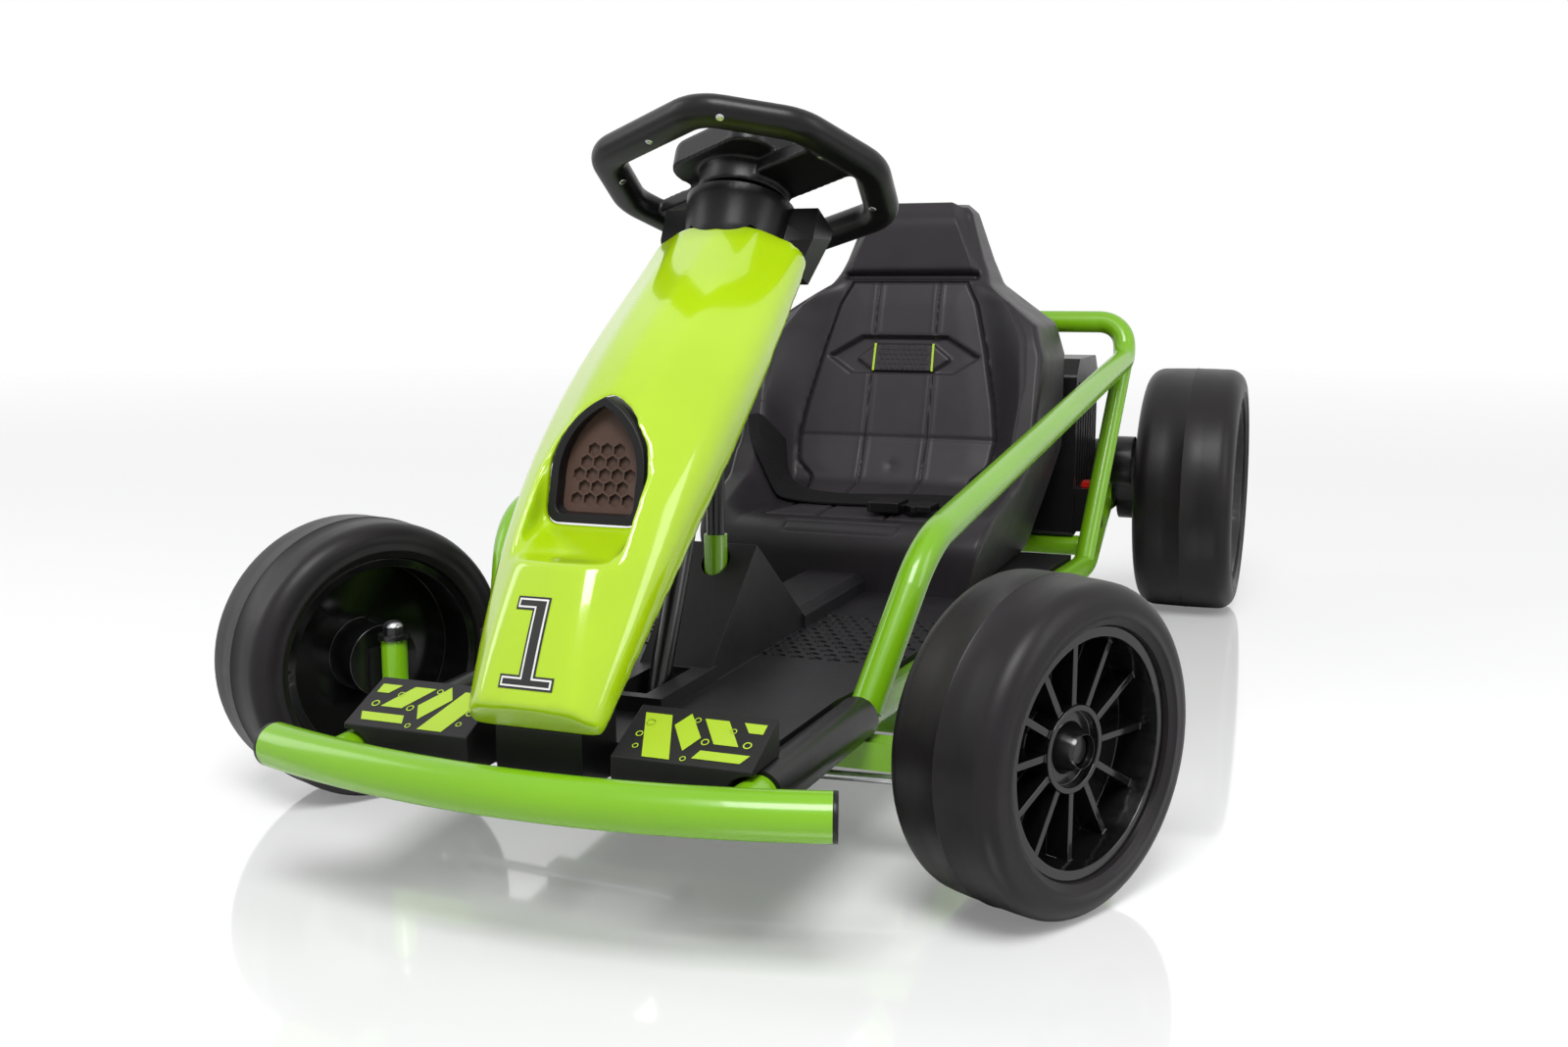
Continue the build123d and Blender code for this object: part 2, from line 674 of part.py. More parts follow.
def nose_bracket():
    """Black foot under the nose's chin, on the front of the floor."""
    half, front, top, stand = CHIN_FOOT
    return back_block((-half, half), (front, FLOOR_FRONT), (BEAM_TOP + stand, top)) - nose_cone()


# Steering

def ring_frame():
    """The steering wheel's own frame, in the ring's plane and turned with it."""
    return column_frame(WHEEL_CENTRE, STEER_REST_DEG + RING_TURN_DEG) * Pos(0, 0, -RING_DROP)


def ring_path():
    """Centre line of the rim, a soft eight-sided loop."""
    quarter = list(RING_CORNERS)
    upper = quarter + [(x, -y) for x, y in reversed(quarter)]
    corners = upper + [(-x, -y) for x, y in upper]
    face = make_face(Polyline(*corners, close=True))
    return fillet(face.vertices(), RING_BEND).face().outer_wire()


def steering_wheel():
    path = ring_path()
    start = Plane(origin=path @ 0, x_dir=(0, 0, 1), z_dir=path % 0) * Rot(0, 0, 90)
    ring = sweep(start * SlotOverall(RING_W, RING_DEPTH), path=path)
    low, high = SPOKE_EDGES
    reach = RING_CORNERS[1][0]
    wheel = ring + block((-reach, reach), (low, high), (-SPOKE_T / 2, SPOKE_T / 2))
    wheel += Pos(0, 0, (HUB_LOW + HUB_TOP) / 2) * Cylinder(HUB_R, HUB_TOP - HUB_LOW)
    wheel -= Cylinder(SHAFT_R + RUNNING_FIT, 100)
    return ring_frame() * wheel


def hub_pad():
    """Rounded pad on the driver's side of the hub."""
    half, low, high, corner, top = PAD
    pad = block((-half, half), (low, high), (HUB_TOP, top))
    pad = fillet(pad.edges().filter_by(Axis.Z), corner)
    pad = fillet(pad.edges().group_by(Axis.Z)[-1], PAD_EDGE)
    return ring_frame() * pad - steering_wheel()


def drop_frame():
    return column_frame(column_point(DROP_ARM_Z))


def drop_pin_axis(along):
    """A point on the drop arm's pin, a distance along the column's direction from the arm's middle."""
    return (drop_frame() * Pos(0, -ARM_LENGTH, along)).position


def steering_shaft():
    length = (WHEEL_CENTRE - column_point(DROP_ARM_Z)).length - RING_DROP + HUB_TOP - SHAFT_SHORT
    shaft = Pos(0, 0, length / 2) * Cylinder(SHAFT_R, length)
    arm = Pos(0, -ARM_LENGTH / 2, 0) * Box(2 * EYE_R, ARM_LENGTH, DROP_ARM_T)
    arm += Cylinder(EYE_R + 3, DROP_ARM_T) + Pos(0, -ARM_LENGTH, 0) * Cylinder(EYE_R, DROP_ARM_T)
    reach = DROP_EYE_ALONG + EYE_T / 2 + EYE_DRIFT
    pin = Pos(0, -ARM_LENGTH, 0) * Cylinder(PIN_R, 2 * reach)
    for side in (-1, 1):
        pin += Pos(0, -ARM_LENGTH, side * (reach + HEAD_T / 2)) * Cylinder(EYE_R - 1, HEAD_T)
    return drop_frame() * (shaft + arm + pin)


# Knuckles, in a frame whose origin is on the kingpin's axis and whose X runs outwards

def knuckle_frame():
    return Pos(*at(KINGPIN_X, 0, 0)) * Rot(0, 0, STEER_REST_DEG)


PLATE_TOP = HOUSING_LOW - PLAY
PLATE_LOW = PLATE_TOP - PLATE_T
UPRIGHT_X = HOUSING_D / 2 + UPRIGHT_GAP
SPINDLE_END = KINGPIN_OFFSET + SPINDLE_REACH
TIE_EYE_Z = PLATE_LOW - EYE_GAP - EYE_T / 2


def knuckle():
    """Forked plate under the housing, its kingpin, steering arm, and upright with the wheel's spindle."""
    plate = block((-WASHER_R, UPRIGHT_X + UPRIGHT_T), (-PLATE_W / 2, PLATE_W / 2), (PLATE_LOW, PLATE_TOP))
    arm = block((-ARM_HALF, ARM_HALF), (0, ARM_LENGTH), (PLATE_LOW, PLATE_TOP))
    arm += Pos(0, ARM_LENGTH, (PLATE_LOW + PLATE_TOP) / 2) * Cylinder(ARM_HALF, PLATE_T)
    upright = block((UPRIGHT_X, UPRIGHT_X + UPRIGHT_T), (-PLATE_W / 2, PLATE_W / 2),
                    (PLATE_LOW, FRONT_AXLE_Z + SPINDLE_R + UPRIGHT_ABOVE))
    pin = rod(Vector(0, 0, PLATE_LOW), Vector(0, 0, HOUSING_HIGH + PLAY + WASHER_T + NUT_T), KINGPIN_R)
    washer = rod(Vector(0, 0, HOUSING_HIGH + PLAY), Vector(0, 0, HOUSING_HIGH + PLAY + WASHER_T), WASHER_R)
    nut = rod(Vector(0, 0, HOUSING_HIGH + PLAY + WASHER_T),
              Vector(0, 0, HOUSING_HIGH + PLAY + WASHER_T + NUT_T), NUT_R)
    spindle = rod(Vector(UPRIGHT_X, 0, FRONT_AXLE_Z), Vector(SPINDLE_END, 0, FRONT_AXLE_Z), SPINDLE_R)
    wheel_nut = rod(Vector(SPINDLE_END - WHEEL_NUT_T, 0, FRONT_AXLE_Z), Vector(SPINDLE_END, 0, FRONT_AXLE_Z),
                    WHEEL_NUT_R)
    tie_low = TIE_EYE_Z - EYE_T / 2 - EYE_GAP
    tie_pin = rod(Vector(0, ARM_LENGTH, tie_low), Vector(0, ARM_LENGTH, PLATE_LOW), PIN_R)
    tie_head = rod(Vector(0, ARM_LENGTH, tie_low - HEAD_T), Vector(0, ARM_LENGTH, tie_low), EYE_R - 1)
    return plate + arm + upright + pin + washer + nut + spindle + wheel_nut + tie_pin + tie_head


def tie_rod(side, along):
    """Rod from a knuckle's arm to the drop arm's pin, with an eye at each end."""
    frame = Pos(*at(side * KINGPIN_X, 0, 0)) * Rot(0, 0, STEER_REST_DEG)
    outer = (frame * Pos(0, ARM_LENGTH, TIE_EYE_Z)).position
    inner = drop_pin_axis(along)
    up = Vector(0, 0, 1)
    eyes = rod(outer - up * (EYE_T / 2), outer + up * (EYE_T / 2), EYE_R)
    eyes += rod(inner - COLUMN_DIR * (EYE_T / 2), inner + COLUMN_DIR * (EYE_T / 2), EYE_R)
    direction = (inner - outer).normalized()
    eyes += rod(outer + direction * (EYE_R - 2), inner - direction * (EYE_R - 2), ROD_R)
    eyes -= rod(outer - up * 20, outer + up * 20, PIN_R + RUNNING_FIT)
    return eyes - rod(inner - COLUMN_DIR * 12, inner + COLUMN_DIR * 12, PIN_R + PLAY)


# Wheels, around an axle along X with the outer face towards +X

RIM_WALL = 7.0
RIM_INSET = 6.0
# Depths of the closed dish's two faces and of the ribs behind the wheel's face
DISH_BEHIND = (22.0, 17.0)
RIB_BEHIND = 18.0
CUP_DEPTH = 5.0
CUP_STAND = 2.0
CUP_WALL = 4.0
RIB_T = 5.0
CONE_R = (17.0, 11.0)
CONE_H = 14.0
TYRE_SHOULDER = 0.15
BEAD_R = 5.0


def ring_x(outer, inner, x_low, x_high):
    """A round ring or disc about the X axis."""
    plane = Plane(origin=(x_low, 0, 0), x_dir=(0, 1, 0), z_dir=(1, 0, 0))
    section = Circle(outer)
    if inner:
        section -= Circle(inner)
    return extrude(plane * section, x_high - x_low)


def tyre(diameter, width, rim_r):
    """Slick tyre with rounded shoulders and a bead beside the rim."""
    top = diameter / 2
    half = width / 2
    shoulder = TYRE_SHOULDER * width
    outline = [(-half, rim_r), (-half, top), (half, top), (half, rim_r)]
    face = make_face(Polyline(*outline, close=True))
    face = fillet(face.vertices().group_by(Axis.Y)[-1], shoulder)
    face = fillet(face.vertices().group_by(Axis.Y)[0], BEAD_R)
    return revolve(face, Axis.X)


def rim(width, rim_r, bore_r, dish, hub_r, spokes, hub_in):
    """Rim with a closed dish and thin spokes that stand on its outer side."""
    lip = width / 2 - RIM_INSET
    face_x = width / 2 - dish
    inside_wall = rim_r - RIM_WALL / 2
    body = ring_x(rim_r, rim_r - RIM_WALL, -lip, lip)
    body += ring_x(inside_wall, 0, face_x - DISH_BEHIND[0], face_x - DISH_BEHIND[1])
    body += ring_x(hub_r, 0, hub_in, face_x - CUP_DEPTH)
    body += ring_x(hub_r, hub_r - CUP_WALL, face_x - CUP_DEPTH, face_x + CUP_STAND)
    for index in range(spokes):
        spoke = block((face_x - RIB_BEHIND, face_x), (hub_r - CUP_WALL / 2, inside_wall), around(0, RIB_T))
        body += Rot(360.0 * index / spokes, 0, 0) * spoke
    cone = Pos(face_x - CUP_DEPTH + CONE_H / 2, 0, 0) * Rot(0, 90, 0) * Cone(CONE_R[0], CONE_R[1], CONE_H)
    return body + cone - ring_x(bore_r, 0, -width, width)


FRONT_RIM = dict(width=FRONT_TYRE_W, rim_r=FRONT_RIM_R, bore_r=SPINDLE_R + RUNNING_FIT, dish=20.0,
                 hub_r=29.0, spokes=12, hub_in=UPRIGHT_X + UPRIGHT_T + PLAY - KINGPIN_OFFSET)
REAR_RIM = dict(width=REAR_TYRE_W, rim_r=REAR_RIM_R, bore_r=AXLE_R + RUNNING_FIT, dish=26.0,
                hub_r=36.0, spokes=12, hub_in=-REAR_TYRE_W / 2 + 4)


def front_wheel_pieces():
    """Tyre and rim of the left front wheel, in the knuckle's frame."""
    place = Pos(KINGPIN_OFFSET, 0, FRONT_AXLE_Z)
    nut_room = ring_x(WHEEL_NUT_R + NUT_ROOM, 0, SPINDLE_REACH - WHEEL_NUT_T - NUT_ROOM / 2, FRONT_TYRE_W)
    wheel = rim(**FRONT_RIM) - nut_room
    return place * tyre(FRONT_TYRE_D, FRONT_TYRE_W, FRONT_RIM_R), place * wheel


def rear_wheel_pieces():
    frame = Pos(*at(REAR_TRACK / 2, WHEELBASE, REAR_AXLE_Z))
    nut_room = ring_x(AXLE_NUT_R + NUT_ROOM, 0, AXLE_REACH - AXLE_NUT_T - NUT_ROOM, REAR_TYRE_W)
    wheel = rim(**REAR_RIM) - nut_room
    return frame * tyre(REAR_TYRE_D, REAR_TYRE_W, REAR_RIM_R), frame * wheel


# Rear axle, gearboxes, battery and cover

def rear_axle():
    """Axle through both brackets, with a nut at each end."""
    end = at(REAR_TRACK / 2 + AXLE_REACH, WHEELBASE, REAR_AXLE_Z)
    start = Vector(-end.X, end.Y, end.Z)
    axle = rod(start, end, AXLE_R)
    for side in (-1, 1):
        tip = Vector(side * end.X, end.Y, end.Z)
        axle += rod(tip - Vector(side * AXLE_NUT_T, 0, 0), tip, AXLE_NUT_R)
    return axle


def gearboxes():
    x_low = BRACKET_X + BRACKET_T / 2
    x_high = REAR_TRACK / 2 - REAR_TYRE_W / 2 - GEARBOX_GAP
    motor = WHEELBASE - MOTOR_AHEAD
    case = rod(at(x_low, WHEELBASE, REAR_AXLE_Z), at(x_high, WHEELBASE, REAR_AXLE_Z), GEAR_LARGE_R)
    case += rod(at(x_low, motor, MOTOR_Z), at(x_high, motor, MOTOR_Z), GEAR_SMALL_R)
    small, large = GEAR_SMALL_R - GEAR_INSET, GEAR_LARGE_R - GEAR_INSET
    case += side_profile(((motor, MOTOR_Z - small), (motor, MOTOR_Z + small),
                          (WHEELBASE, REAR_AXLE_Z + large), (WHEELBASE, REAR_AXLE_Z - large)), x_low, x_high)
    case += rod(at(x_low - MOTOR_LENGTH, motor, MOTOR_Z), at(x_low, motor, MOTOR_Z), MOTOR_R)
    case -= rod(at(x_low, WHEELBASE, REAR_AXLE_Z), at(x_high, WHEELBASE, REAR_AXLE_Z), AXLE_R + RUNNING_FIT)
    return case + other_side(case)


def deck_line(back):
    """The height of the cross tubes' tops, on which the battery and its cover rest."""
    return rail_at(back)[1] + CROSS_D / 2


def battery():
    near, far = COVER_BACK[0] + BATTERY_GAP, COVER_BACK[1] - BATTERY_GAP
    outline = ((near, deck_line(near) + SEAT_GAP), (near, BATTERY_TOP), (far, BATTERY_TOP),
               (far, deck_line(far) + SEAT_GAP))
    return side_profile(outline, -BATTERY_HALF, BATTERY_HALF)


def rear_cover():
    """Box over the battery, open below, with louvres pressed into both sides."""
    near, far = COVER_BACK
    bevel, wall = COVER_BEVEL, COVER_WALL
    inner_bevel = bevel + wall / 2
    outer = side_profile(((near, deck_line(near) + SEAT_GAP), (near, COVER_TOP - bevel),
                          (near + bevel, COVER_TOP), (far - bevel, COVER_TOP), (far, COVER_TOP - bevel),
                          (far, deck_line(far) + SEAT_GAP)), -COVER_HALF, COVER_HALF, COVER_ROUND)
    inner = side_profile(((near + wall, BEAM_TOP), (near + wall, COVER_TOP - inner_bevel),
                          (near + inner_bevel, COVER_TOP - wall), (far - inner_bevel, COVER_TOP - wall),
                          (far - wall, COVER_TOP - inner_bevel), (far - wall, BEAM_TOP)),
                         -COVER_HALF + wall, COVER_HALF - wall)
    cover = outer - inner
    for index in range(LOUVRE_COUNT):
        back = near + LOUVRE_FIRST + index * LOUVRE_PITCH
        groove = back_block(around(COVER_HALF, 2 * LOUVRE_DEPTH), (back, back + LOUVRE_W), LOUVRE_Z)
        cover = cover - groove - other_side(groove)
    return cover


def switch_box():
    x = (COVER_HALF, COVER_HALF + BOX_W)
    z = (deck_line(SWITCH_BACK) + BOX_STAND, BOX_TOP)
    return back_block(x, around(SWITCH_BACK, BOX_LENGTH), z) - rail()


def power_switch():
    """Rocker on the middle of the switch box."""
    return back_block(around(COVER_HALF + BOX_W / 2, ROCKER_W), around(SWITCH_BACK, ROCKER_LENGTH),
                      (BOX_TOP, BOX_TOP + ROCKER_RISE))


# Seat

SEAT_FOOT = FLOOR_TOP + 0.2
# Side view of the shell in columns: back, height
SEAT_SIDE = ((SEAT_FRONT, SEAT_FOOT), (SEAT_FRONT, 168.0), (400.0, 190.0), (515.0, 225.0), (545.0, 300.0),
             (575.0, 365.0), (616.0, 405.0), (622.0, 425.0), (636.0, 490.0), (690.0, 490.0), (700.0, 440.0),
             (690.0, 340.0), (672.0, 200.0), (655.0, SEAT_FOOT))
# Half of its front view in columns: half width, height
SEAT_OUTLINE = ((0.0, FLOOR_TOP), (128.0, FLOOR_TOP), (140.0, 160.0), (SEAT_HALF, 230.0), (SEAT_HALF, 330.0),
                (146.0, 368.0), (76.0, 408.0), (68.0, 430.0), (54.0, 484.0), (46.0, 491.0), (0.0, 491.0))
# Middle line of the pads in columns: back, height, with two rows on the backrest's straight part
CUSHION_SURFACE = ((376.0, 170.0), (400.0, 178.0), (480.0, 180.0), (550.0, 196.0), (572.0, 240.0),
                   (600.0, 330.0), (624.0, 404.0))
THIGH_ROWS = 3
BACKREST_ROWS = (4, 5)
# Front view of the hollow between the wings, in columns: half width, height
CHANNEL_HALF = ((0.0, 120.0), (PAD_HALF, 120.0), (PAD_HALF + 12.0, 320.0), (70.0, 404.0), (0.0, 404.0))
CHANNEL_OPEN = (300.0, 560.0)
# Vent on the backrest: share up its straight part, thickness, and outline in columns: x, up
VENT_SHARE = 0.86
VENT_T = 4.0
VENT_OUTLINE = ((-85.0, 0.0), (-56.0, 19.0), (56.0, 19.0), (85.0, 0.0), (56.0, -19.0), (-56.0, -19.0))
# Belt's strap in columns: back, height, then its half length and the buckle's low and high sides
BELT_SIDE = ((430.0, 179.2), (468.0, 180.2), (468.0, 182.4), (430.0, 181.4))
BELT_HALF = 98.0
BUCKLE_X = (10.0, 80.0)
BUCKLE_BACK = (426.0, 472.0)
BUCKLE_Z = (182.9, 194.0)


def seat_channel(depth):
    """The hollow of the bucket, down to a depth under the pads' surface."""
    thighs, back_rows = CUSHION_SURFACE[:THIGH_ROWS], CUSHION_SURFACE[THIGH_ROWS:]
    surface = [(back + PAD_BACKWARDS * depth, z - depth) for back, z in thighs]
    surface += [(back + depth, z - PAD_DOWNWARDS * depth) for back, z in back_rows]
    ahead, above = CHANNEL_OPEN
    points = [(ahead, surface[0][1])] + surface + [(surface[-1][0], above), (ahead, above)]
    return side_profile(points, -SIDE_REACH, SIDE_REACH) & front_profile(CHANNEL_HALF, ahead, WHEELBASE)


def seat_shell():
    side = side_profile(SEAT_SIDE, -SEAT_HALF, SEAT_HALF, SEAT_ROUND)
    body = side & front_profile(SEAT_OUTLINE, 0.0, WHEELBASE, SEAT_ROUND)
    return body - seat_channel(PAD_DEPTH)


def seat_pad():
    """What fills the hollow up to the pads' surface, flush with the shell's front."""
    pad = seat_channel(PAD_DEPTH) - seat_channel(0.0)
    return pad & back_block((-SIDE_REACH, SIDE_REACH), (SEAT_FRONT, WHEELBASE), (0.0, WHEEL_Z))


def vent_panel():
    """Six-sided vent on the backrest, lying on its pad."""
    foot, head = [at(0, *CUSHION_SURFACE[row]) for row in BACKREST_ROWS]
    slope = head - foot
    normal = Vector(0, -slope.Z, slope.Y).normalized()
    centre = foot + slope * VENT_SHARE + normal * SEAT_GAP
    plane = Plane(origin=centre, x_dir=(1, 0, 0), z_dir=normal)
    return extrude(plane * make_face(Polyline(*VENT_OUTLINE, close=True)), VENT_T)


def seat_belt():
    """Lap strap lying across the cushion."""
    return side_profile(BELT_SIDE, -BELT_HALF, BELT_HALF)


def belt_buckle():
    return back_block(BUCKLE_X, BUCKLE_BACK, BUCKLE_Z)


NODES = {}


def add_pair(name, part):
    NODES[f"{name}_left"] = part
    NODES[f"{name}_right"] = other_side(part)


def build():
    add_pair("rail", rail())
    left_sleeve = sleeve()
    NODES["rail_sleeves"] = left_sleeve + other_side(left_sleeve)
    add_pair("side_tube", side_tube())
    NODES["rear_hoop"] = rear_hoop()
    add_pair("brace", brace())
    NODES["bumper"] = bumper()
    NODES["bumper_caps"] = bumper_caps()
    NODES["front_beam"] = front_beam()
    NODES["rear_frame"] = rear_frame()
    NODES["floor_pan"] = floor_pan()
    NODES["footrests"] = footrests()
    NODES["pedal"] = pedal()
    NODES["mid_beam"] = mid_beam()
    NODES["column_post"] = column_post()
    NODES["column_shroud"] = column_shroud()
    NODES["nose_cone"] = nose_cone()
    NODES["scoop_bezel"] = scoop_bezel()
    NODES["scoop_mesh"] = scoop_mesh()
    NODES["nose_bracket"] = nose_bracket()
    NODES["seat_shell"] = seat_shell()
    NODES["seat_pad"] = seat_pad()
    NODES["seat_vent"] = vent_panel()
    NODES["seat_belt"] = seat_belt()
    NODES["belt_buckle"] = belt_buckle()
    NODES["battery"] = battery()
    NODES["rear_cover"] = rear_cover()
    NODES["switch_box"] = switch_box()
    NODES["power_switch"] = power_switch()
    NODES["rear_axle"] = rear_axle()
    NODES["gearboxes"] = gearboxes()
    NODES["steering_wheel"] = steering_wheel()
    NODES["steering_pad"] = hub_pad()
    NODES["steering_shaft"] = steering_shaft()
    left = knuckle()
    NODES["knuckle_left"] = knuckle_frame() * left
    right_frame = Pos(*at(-KINGPIN_X, 0, 0)) * Rot(0, 0, STEER_REST_DEG)
    NODES["knuckle_right"] = right_frame * other_side(left)
    NODES["tie_rod_left"] = tie_rod(1, DROP_EYE_ALONG)
    NODES["tie_rod_right"] = tie_rod(-1, -DROP_EYE_ALONG)
    front_tyre, front_rim = front_wheel_pieces()
    for name, piece in (("tyre_front", front_tyre), ("rim_front", front_rim)):
        NODES[f"{name}_left"] = knuckle_frame() * piece
        NODES[f"{name}_right"] = right_frame * other_side(piece)
    rear_tyre, rear_rim = rear_wheel_pieces()
    add_pair("tyre_rear", rear_tyre)
    add_pair("rim_rear", rear_rim)


if __name__ == "__main__":
    os.makedirs("parts", exist_ok=True)
    build()
    for name, part in NODES.items():
        export_step(part, f"parts/{name}.step")
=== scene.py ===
import json
from math import cos, pi, radians, sin

import bmesh
import bpy
import numpy as np
from mathutils import Matrix, Vector
from mathutils.bvhtree import BVHTree


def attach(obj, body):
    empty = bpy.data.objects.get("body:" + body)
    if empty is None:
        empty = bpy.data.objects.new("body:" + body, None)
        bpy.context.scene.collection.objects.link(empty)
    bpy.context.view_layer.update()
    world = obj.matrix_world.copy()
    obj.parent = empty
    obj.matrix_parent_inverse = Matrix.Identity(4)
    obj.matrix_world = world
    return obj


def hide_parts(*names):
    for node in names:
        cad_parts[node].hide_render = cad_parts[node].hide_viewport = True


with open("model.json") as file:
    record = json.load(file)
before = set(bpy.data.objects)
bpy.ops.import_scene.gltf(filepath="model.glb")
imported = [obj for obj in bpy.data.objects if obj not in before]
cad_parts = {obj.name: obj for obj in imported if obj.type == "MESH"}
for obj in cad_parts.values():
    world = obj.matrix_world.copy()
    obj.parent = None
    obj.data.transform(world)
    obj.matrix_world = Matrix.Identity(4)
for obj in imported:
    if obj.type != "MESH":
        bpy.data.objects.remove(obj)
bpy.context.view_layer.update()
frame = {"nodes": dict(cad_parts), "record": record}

# Metres. Places named "back" are distances behind the front axle, as in the part's source.
FRONT_AXLE_Y = -0.449
DOWN = Vector((0, 0, -1))
# Height from which rays look down on the floor and the footrests, and their start off a moulded skin
LOOK_FROM = 0.30
LOOK_OFF = 0.05
PHOTO_WIDTH = 1600
SENSOR = 36.0

# Camera, solved from the wheels' and the bumper's outlines
CAMERA_AT = (0.4576, -1.4181, 0.4027)
CAMERA_YAW = 20.746
CAMERA_PITCH = 8.953
CAMERA_FOCAL_PX = 1542.93
CAMERA_CLIP = 0.05


def at(x, back, z):
    """Point of the frame's own axes."""
    return Vector((x, FRONT_AXLE_Y + back, z))


# Materials

class Finish:
    """A Principled material with its nodes at hand."""

    def __init__(self, name, roughness, metallic=0.0, coat=0.0, sheen=0.0, specular=0.5):
        self.mat = bpy.data.materials.new(name)
        self.mat.use_nodes = True
        self.tree = self.mat.node_tree
        self.shader = self.tree.nodes["Principled BSDF"]
        self.shader.inputs["Roughness"].default_value = roughness
        self.shader.inputs["Metallic"].default_value = metallic
        self.shader.inputs["Coat Weight"].default_value = coat
        self.shader.inputs["Coat Roughness"].default_value = 0.04
        self.shader.inputs["Sheen Weight"].default_value = sheen
        self.shader.inputs["Specular IOR Level"].default_value = specular
        self.place = self.node("ShaderNodeTexCoord").outputs["Object"]
        self.normal = None

    def node(self, kind, **values):
        made = self.tree.nodes.new(kind)
        for key, value in values.items():
            setattr(made, key, value)
        return made

    def link(self, source, target):
        self.tree.links.new(source, target)

    def noise(self, scale, detail=3.0, stretch=(1, 1, 1)):
        mapping = self.node("ShaderNodeMapping")
        mapping.inputs["Scale"].default_value = stretch
        self.link(self.place, mapping.inputs["Vector"])
        noise = self.node("ShaderNodeTexNoise")
        noise.inputs["Scale"].default_value = scale
        noise.inputs["Detail"].default_value = detail
        self.link(mapping.outputs["Vector"], noise.inputs["Vector"])
        return noise.outputs["Fac"]

    def cells(self, scale):
        cells = self.node("ShaderNodeTexVoronoi")
        cells.inputs["Scale"].default_value = scale
        self.link(self.place, cells.inputs["Vector"])
        return cells.outputs["Distance"]

    def ramp(self, source, low, high, at_low=0.3, at_high=0.7):
        ramp = self.node("ShaderNodeValToRGB")
        ramp.color_ramp.elements[0].position = at_low
        ramp.color_ramp.elements[0].color = (*low, 1)
        ramp.color_ramp.elements[1].position = at_high
        ramp.color_ramp.elements[1].color = (*high, 1)
        self.link(source, ramp.inputs["Fac"])
        return ramp.outputs["Color"]

    def colour(self, low, high, scale, detail=4.0):
        """Base colour that drifts between two close tones."""
        self.link(self.ramp(self.noise(scale, detail), low, high), self.shader.inputs["Base Color"])
        return self

    def rough(self, low, high, scale):
        spread = self.node("ShaderNodeMapRange")
        spread.inputs["To Min"].default_value = low
        spread.inputs["To Max"].default_value = high
        self.link(self.noise(scale), spread.inputs["Value"])
        self.link(spread.outputs["Result"], self.shader.inputs["Roughness"])
        return self

    def bump(self, source, strength, distance):
        bump = self.node("ShaderNodeBump")
        bump.inputs["Strength"].default_value = strength
        bump.inputs["Distance"].default_value = distance
        self.link(source, bump.inputs["Height"])
        if self.normal:
            self.link(self.normal, bump.inputs["Normal"])
        self.normal = bump.outputs["Normal"]
        self.link(self.normal, self.shader.inputs["Normal"])
        return self


def shades(rgb, spread):
    """A darker and a lighter tone of a colour."""
    return tuple(c * (1 - spread) for c in rgb), tuple(min(1.0, c * (1 + spread)) for c in rgb)


def paint(name, rgb, roughness, coat):
    """Gloss paint with a faint orange peel."""
    made = Finish(name, roughness, coat=coat, specular=0.4)
    made.colour(*shades(rgb, 0.05), 9.0).rough(roughness * 0.8, roughness * 1.25, 30.0)
    return made.bump(made.noise(420.0, 2.0), 0.02, 0.0002).mat


def plastic(name, rgb, roughness, grain=0.12, grain_scale=1400.0, sheen=0.0, specular=0.26):
    """Moulded plastic with a fine spark-eroded grain."""
    made = Finish(name, roughness, sheen=sheen, specular=specular)
    made.colour(*shades(rgb, 0.14), 26.0).rough(roughness * 0.85, roughness * 1.18, 55.0)
    return made.bump(made.cells(grain_scale), grain, 0.0002).mat


def rubber(name, rgb, roughness):
    """Moulded tyre plastic with scuffs."""
    made = Finish(name, roughness, specular=0.24)
    made.colour(*shades(rgb, 0.25), 18.0, 6.0).rough(roughness * 0.8, roughness * 1.2, 34.0)
    made.bump(made.noise(90.0, 6.0), 0.06, 0.0006)
    return made.bump(made.cells(900.0), 0.06, 0.0002).mat


def steel(name, rgb, roughness):
    """Bare metal, a little uneven."""
    made = Finish(name, roughness, metallic=1.0)
    made.colour(*shades(rgb, 0.1), 60.0).rough(roughness * 0.7, roughness * 1.3, 90.0)
    return made.bump(made.noise(700.0), 0.05, 0.0002).mat


def webbing(name, rgb):
    """Woven strap with ribs along its length."""
    made = Finish(name, 0.75, specular=0.2)
    made.colour(*shades(rgb, 0.3), 120.0)
    for direction, scale in (("X", 260.0), ("Y", 420.0)):
        wave = made.node("ShaderNodeTexWave", bands_direction=direction)
        wave.inputs["Scale"].default_value = scale
        made.link(made.place, wave.inputs["Vector"])
        made.bump(wave.outputs["Fac"], 0.5, 0.0004)
    return made.mat


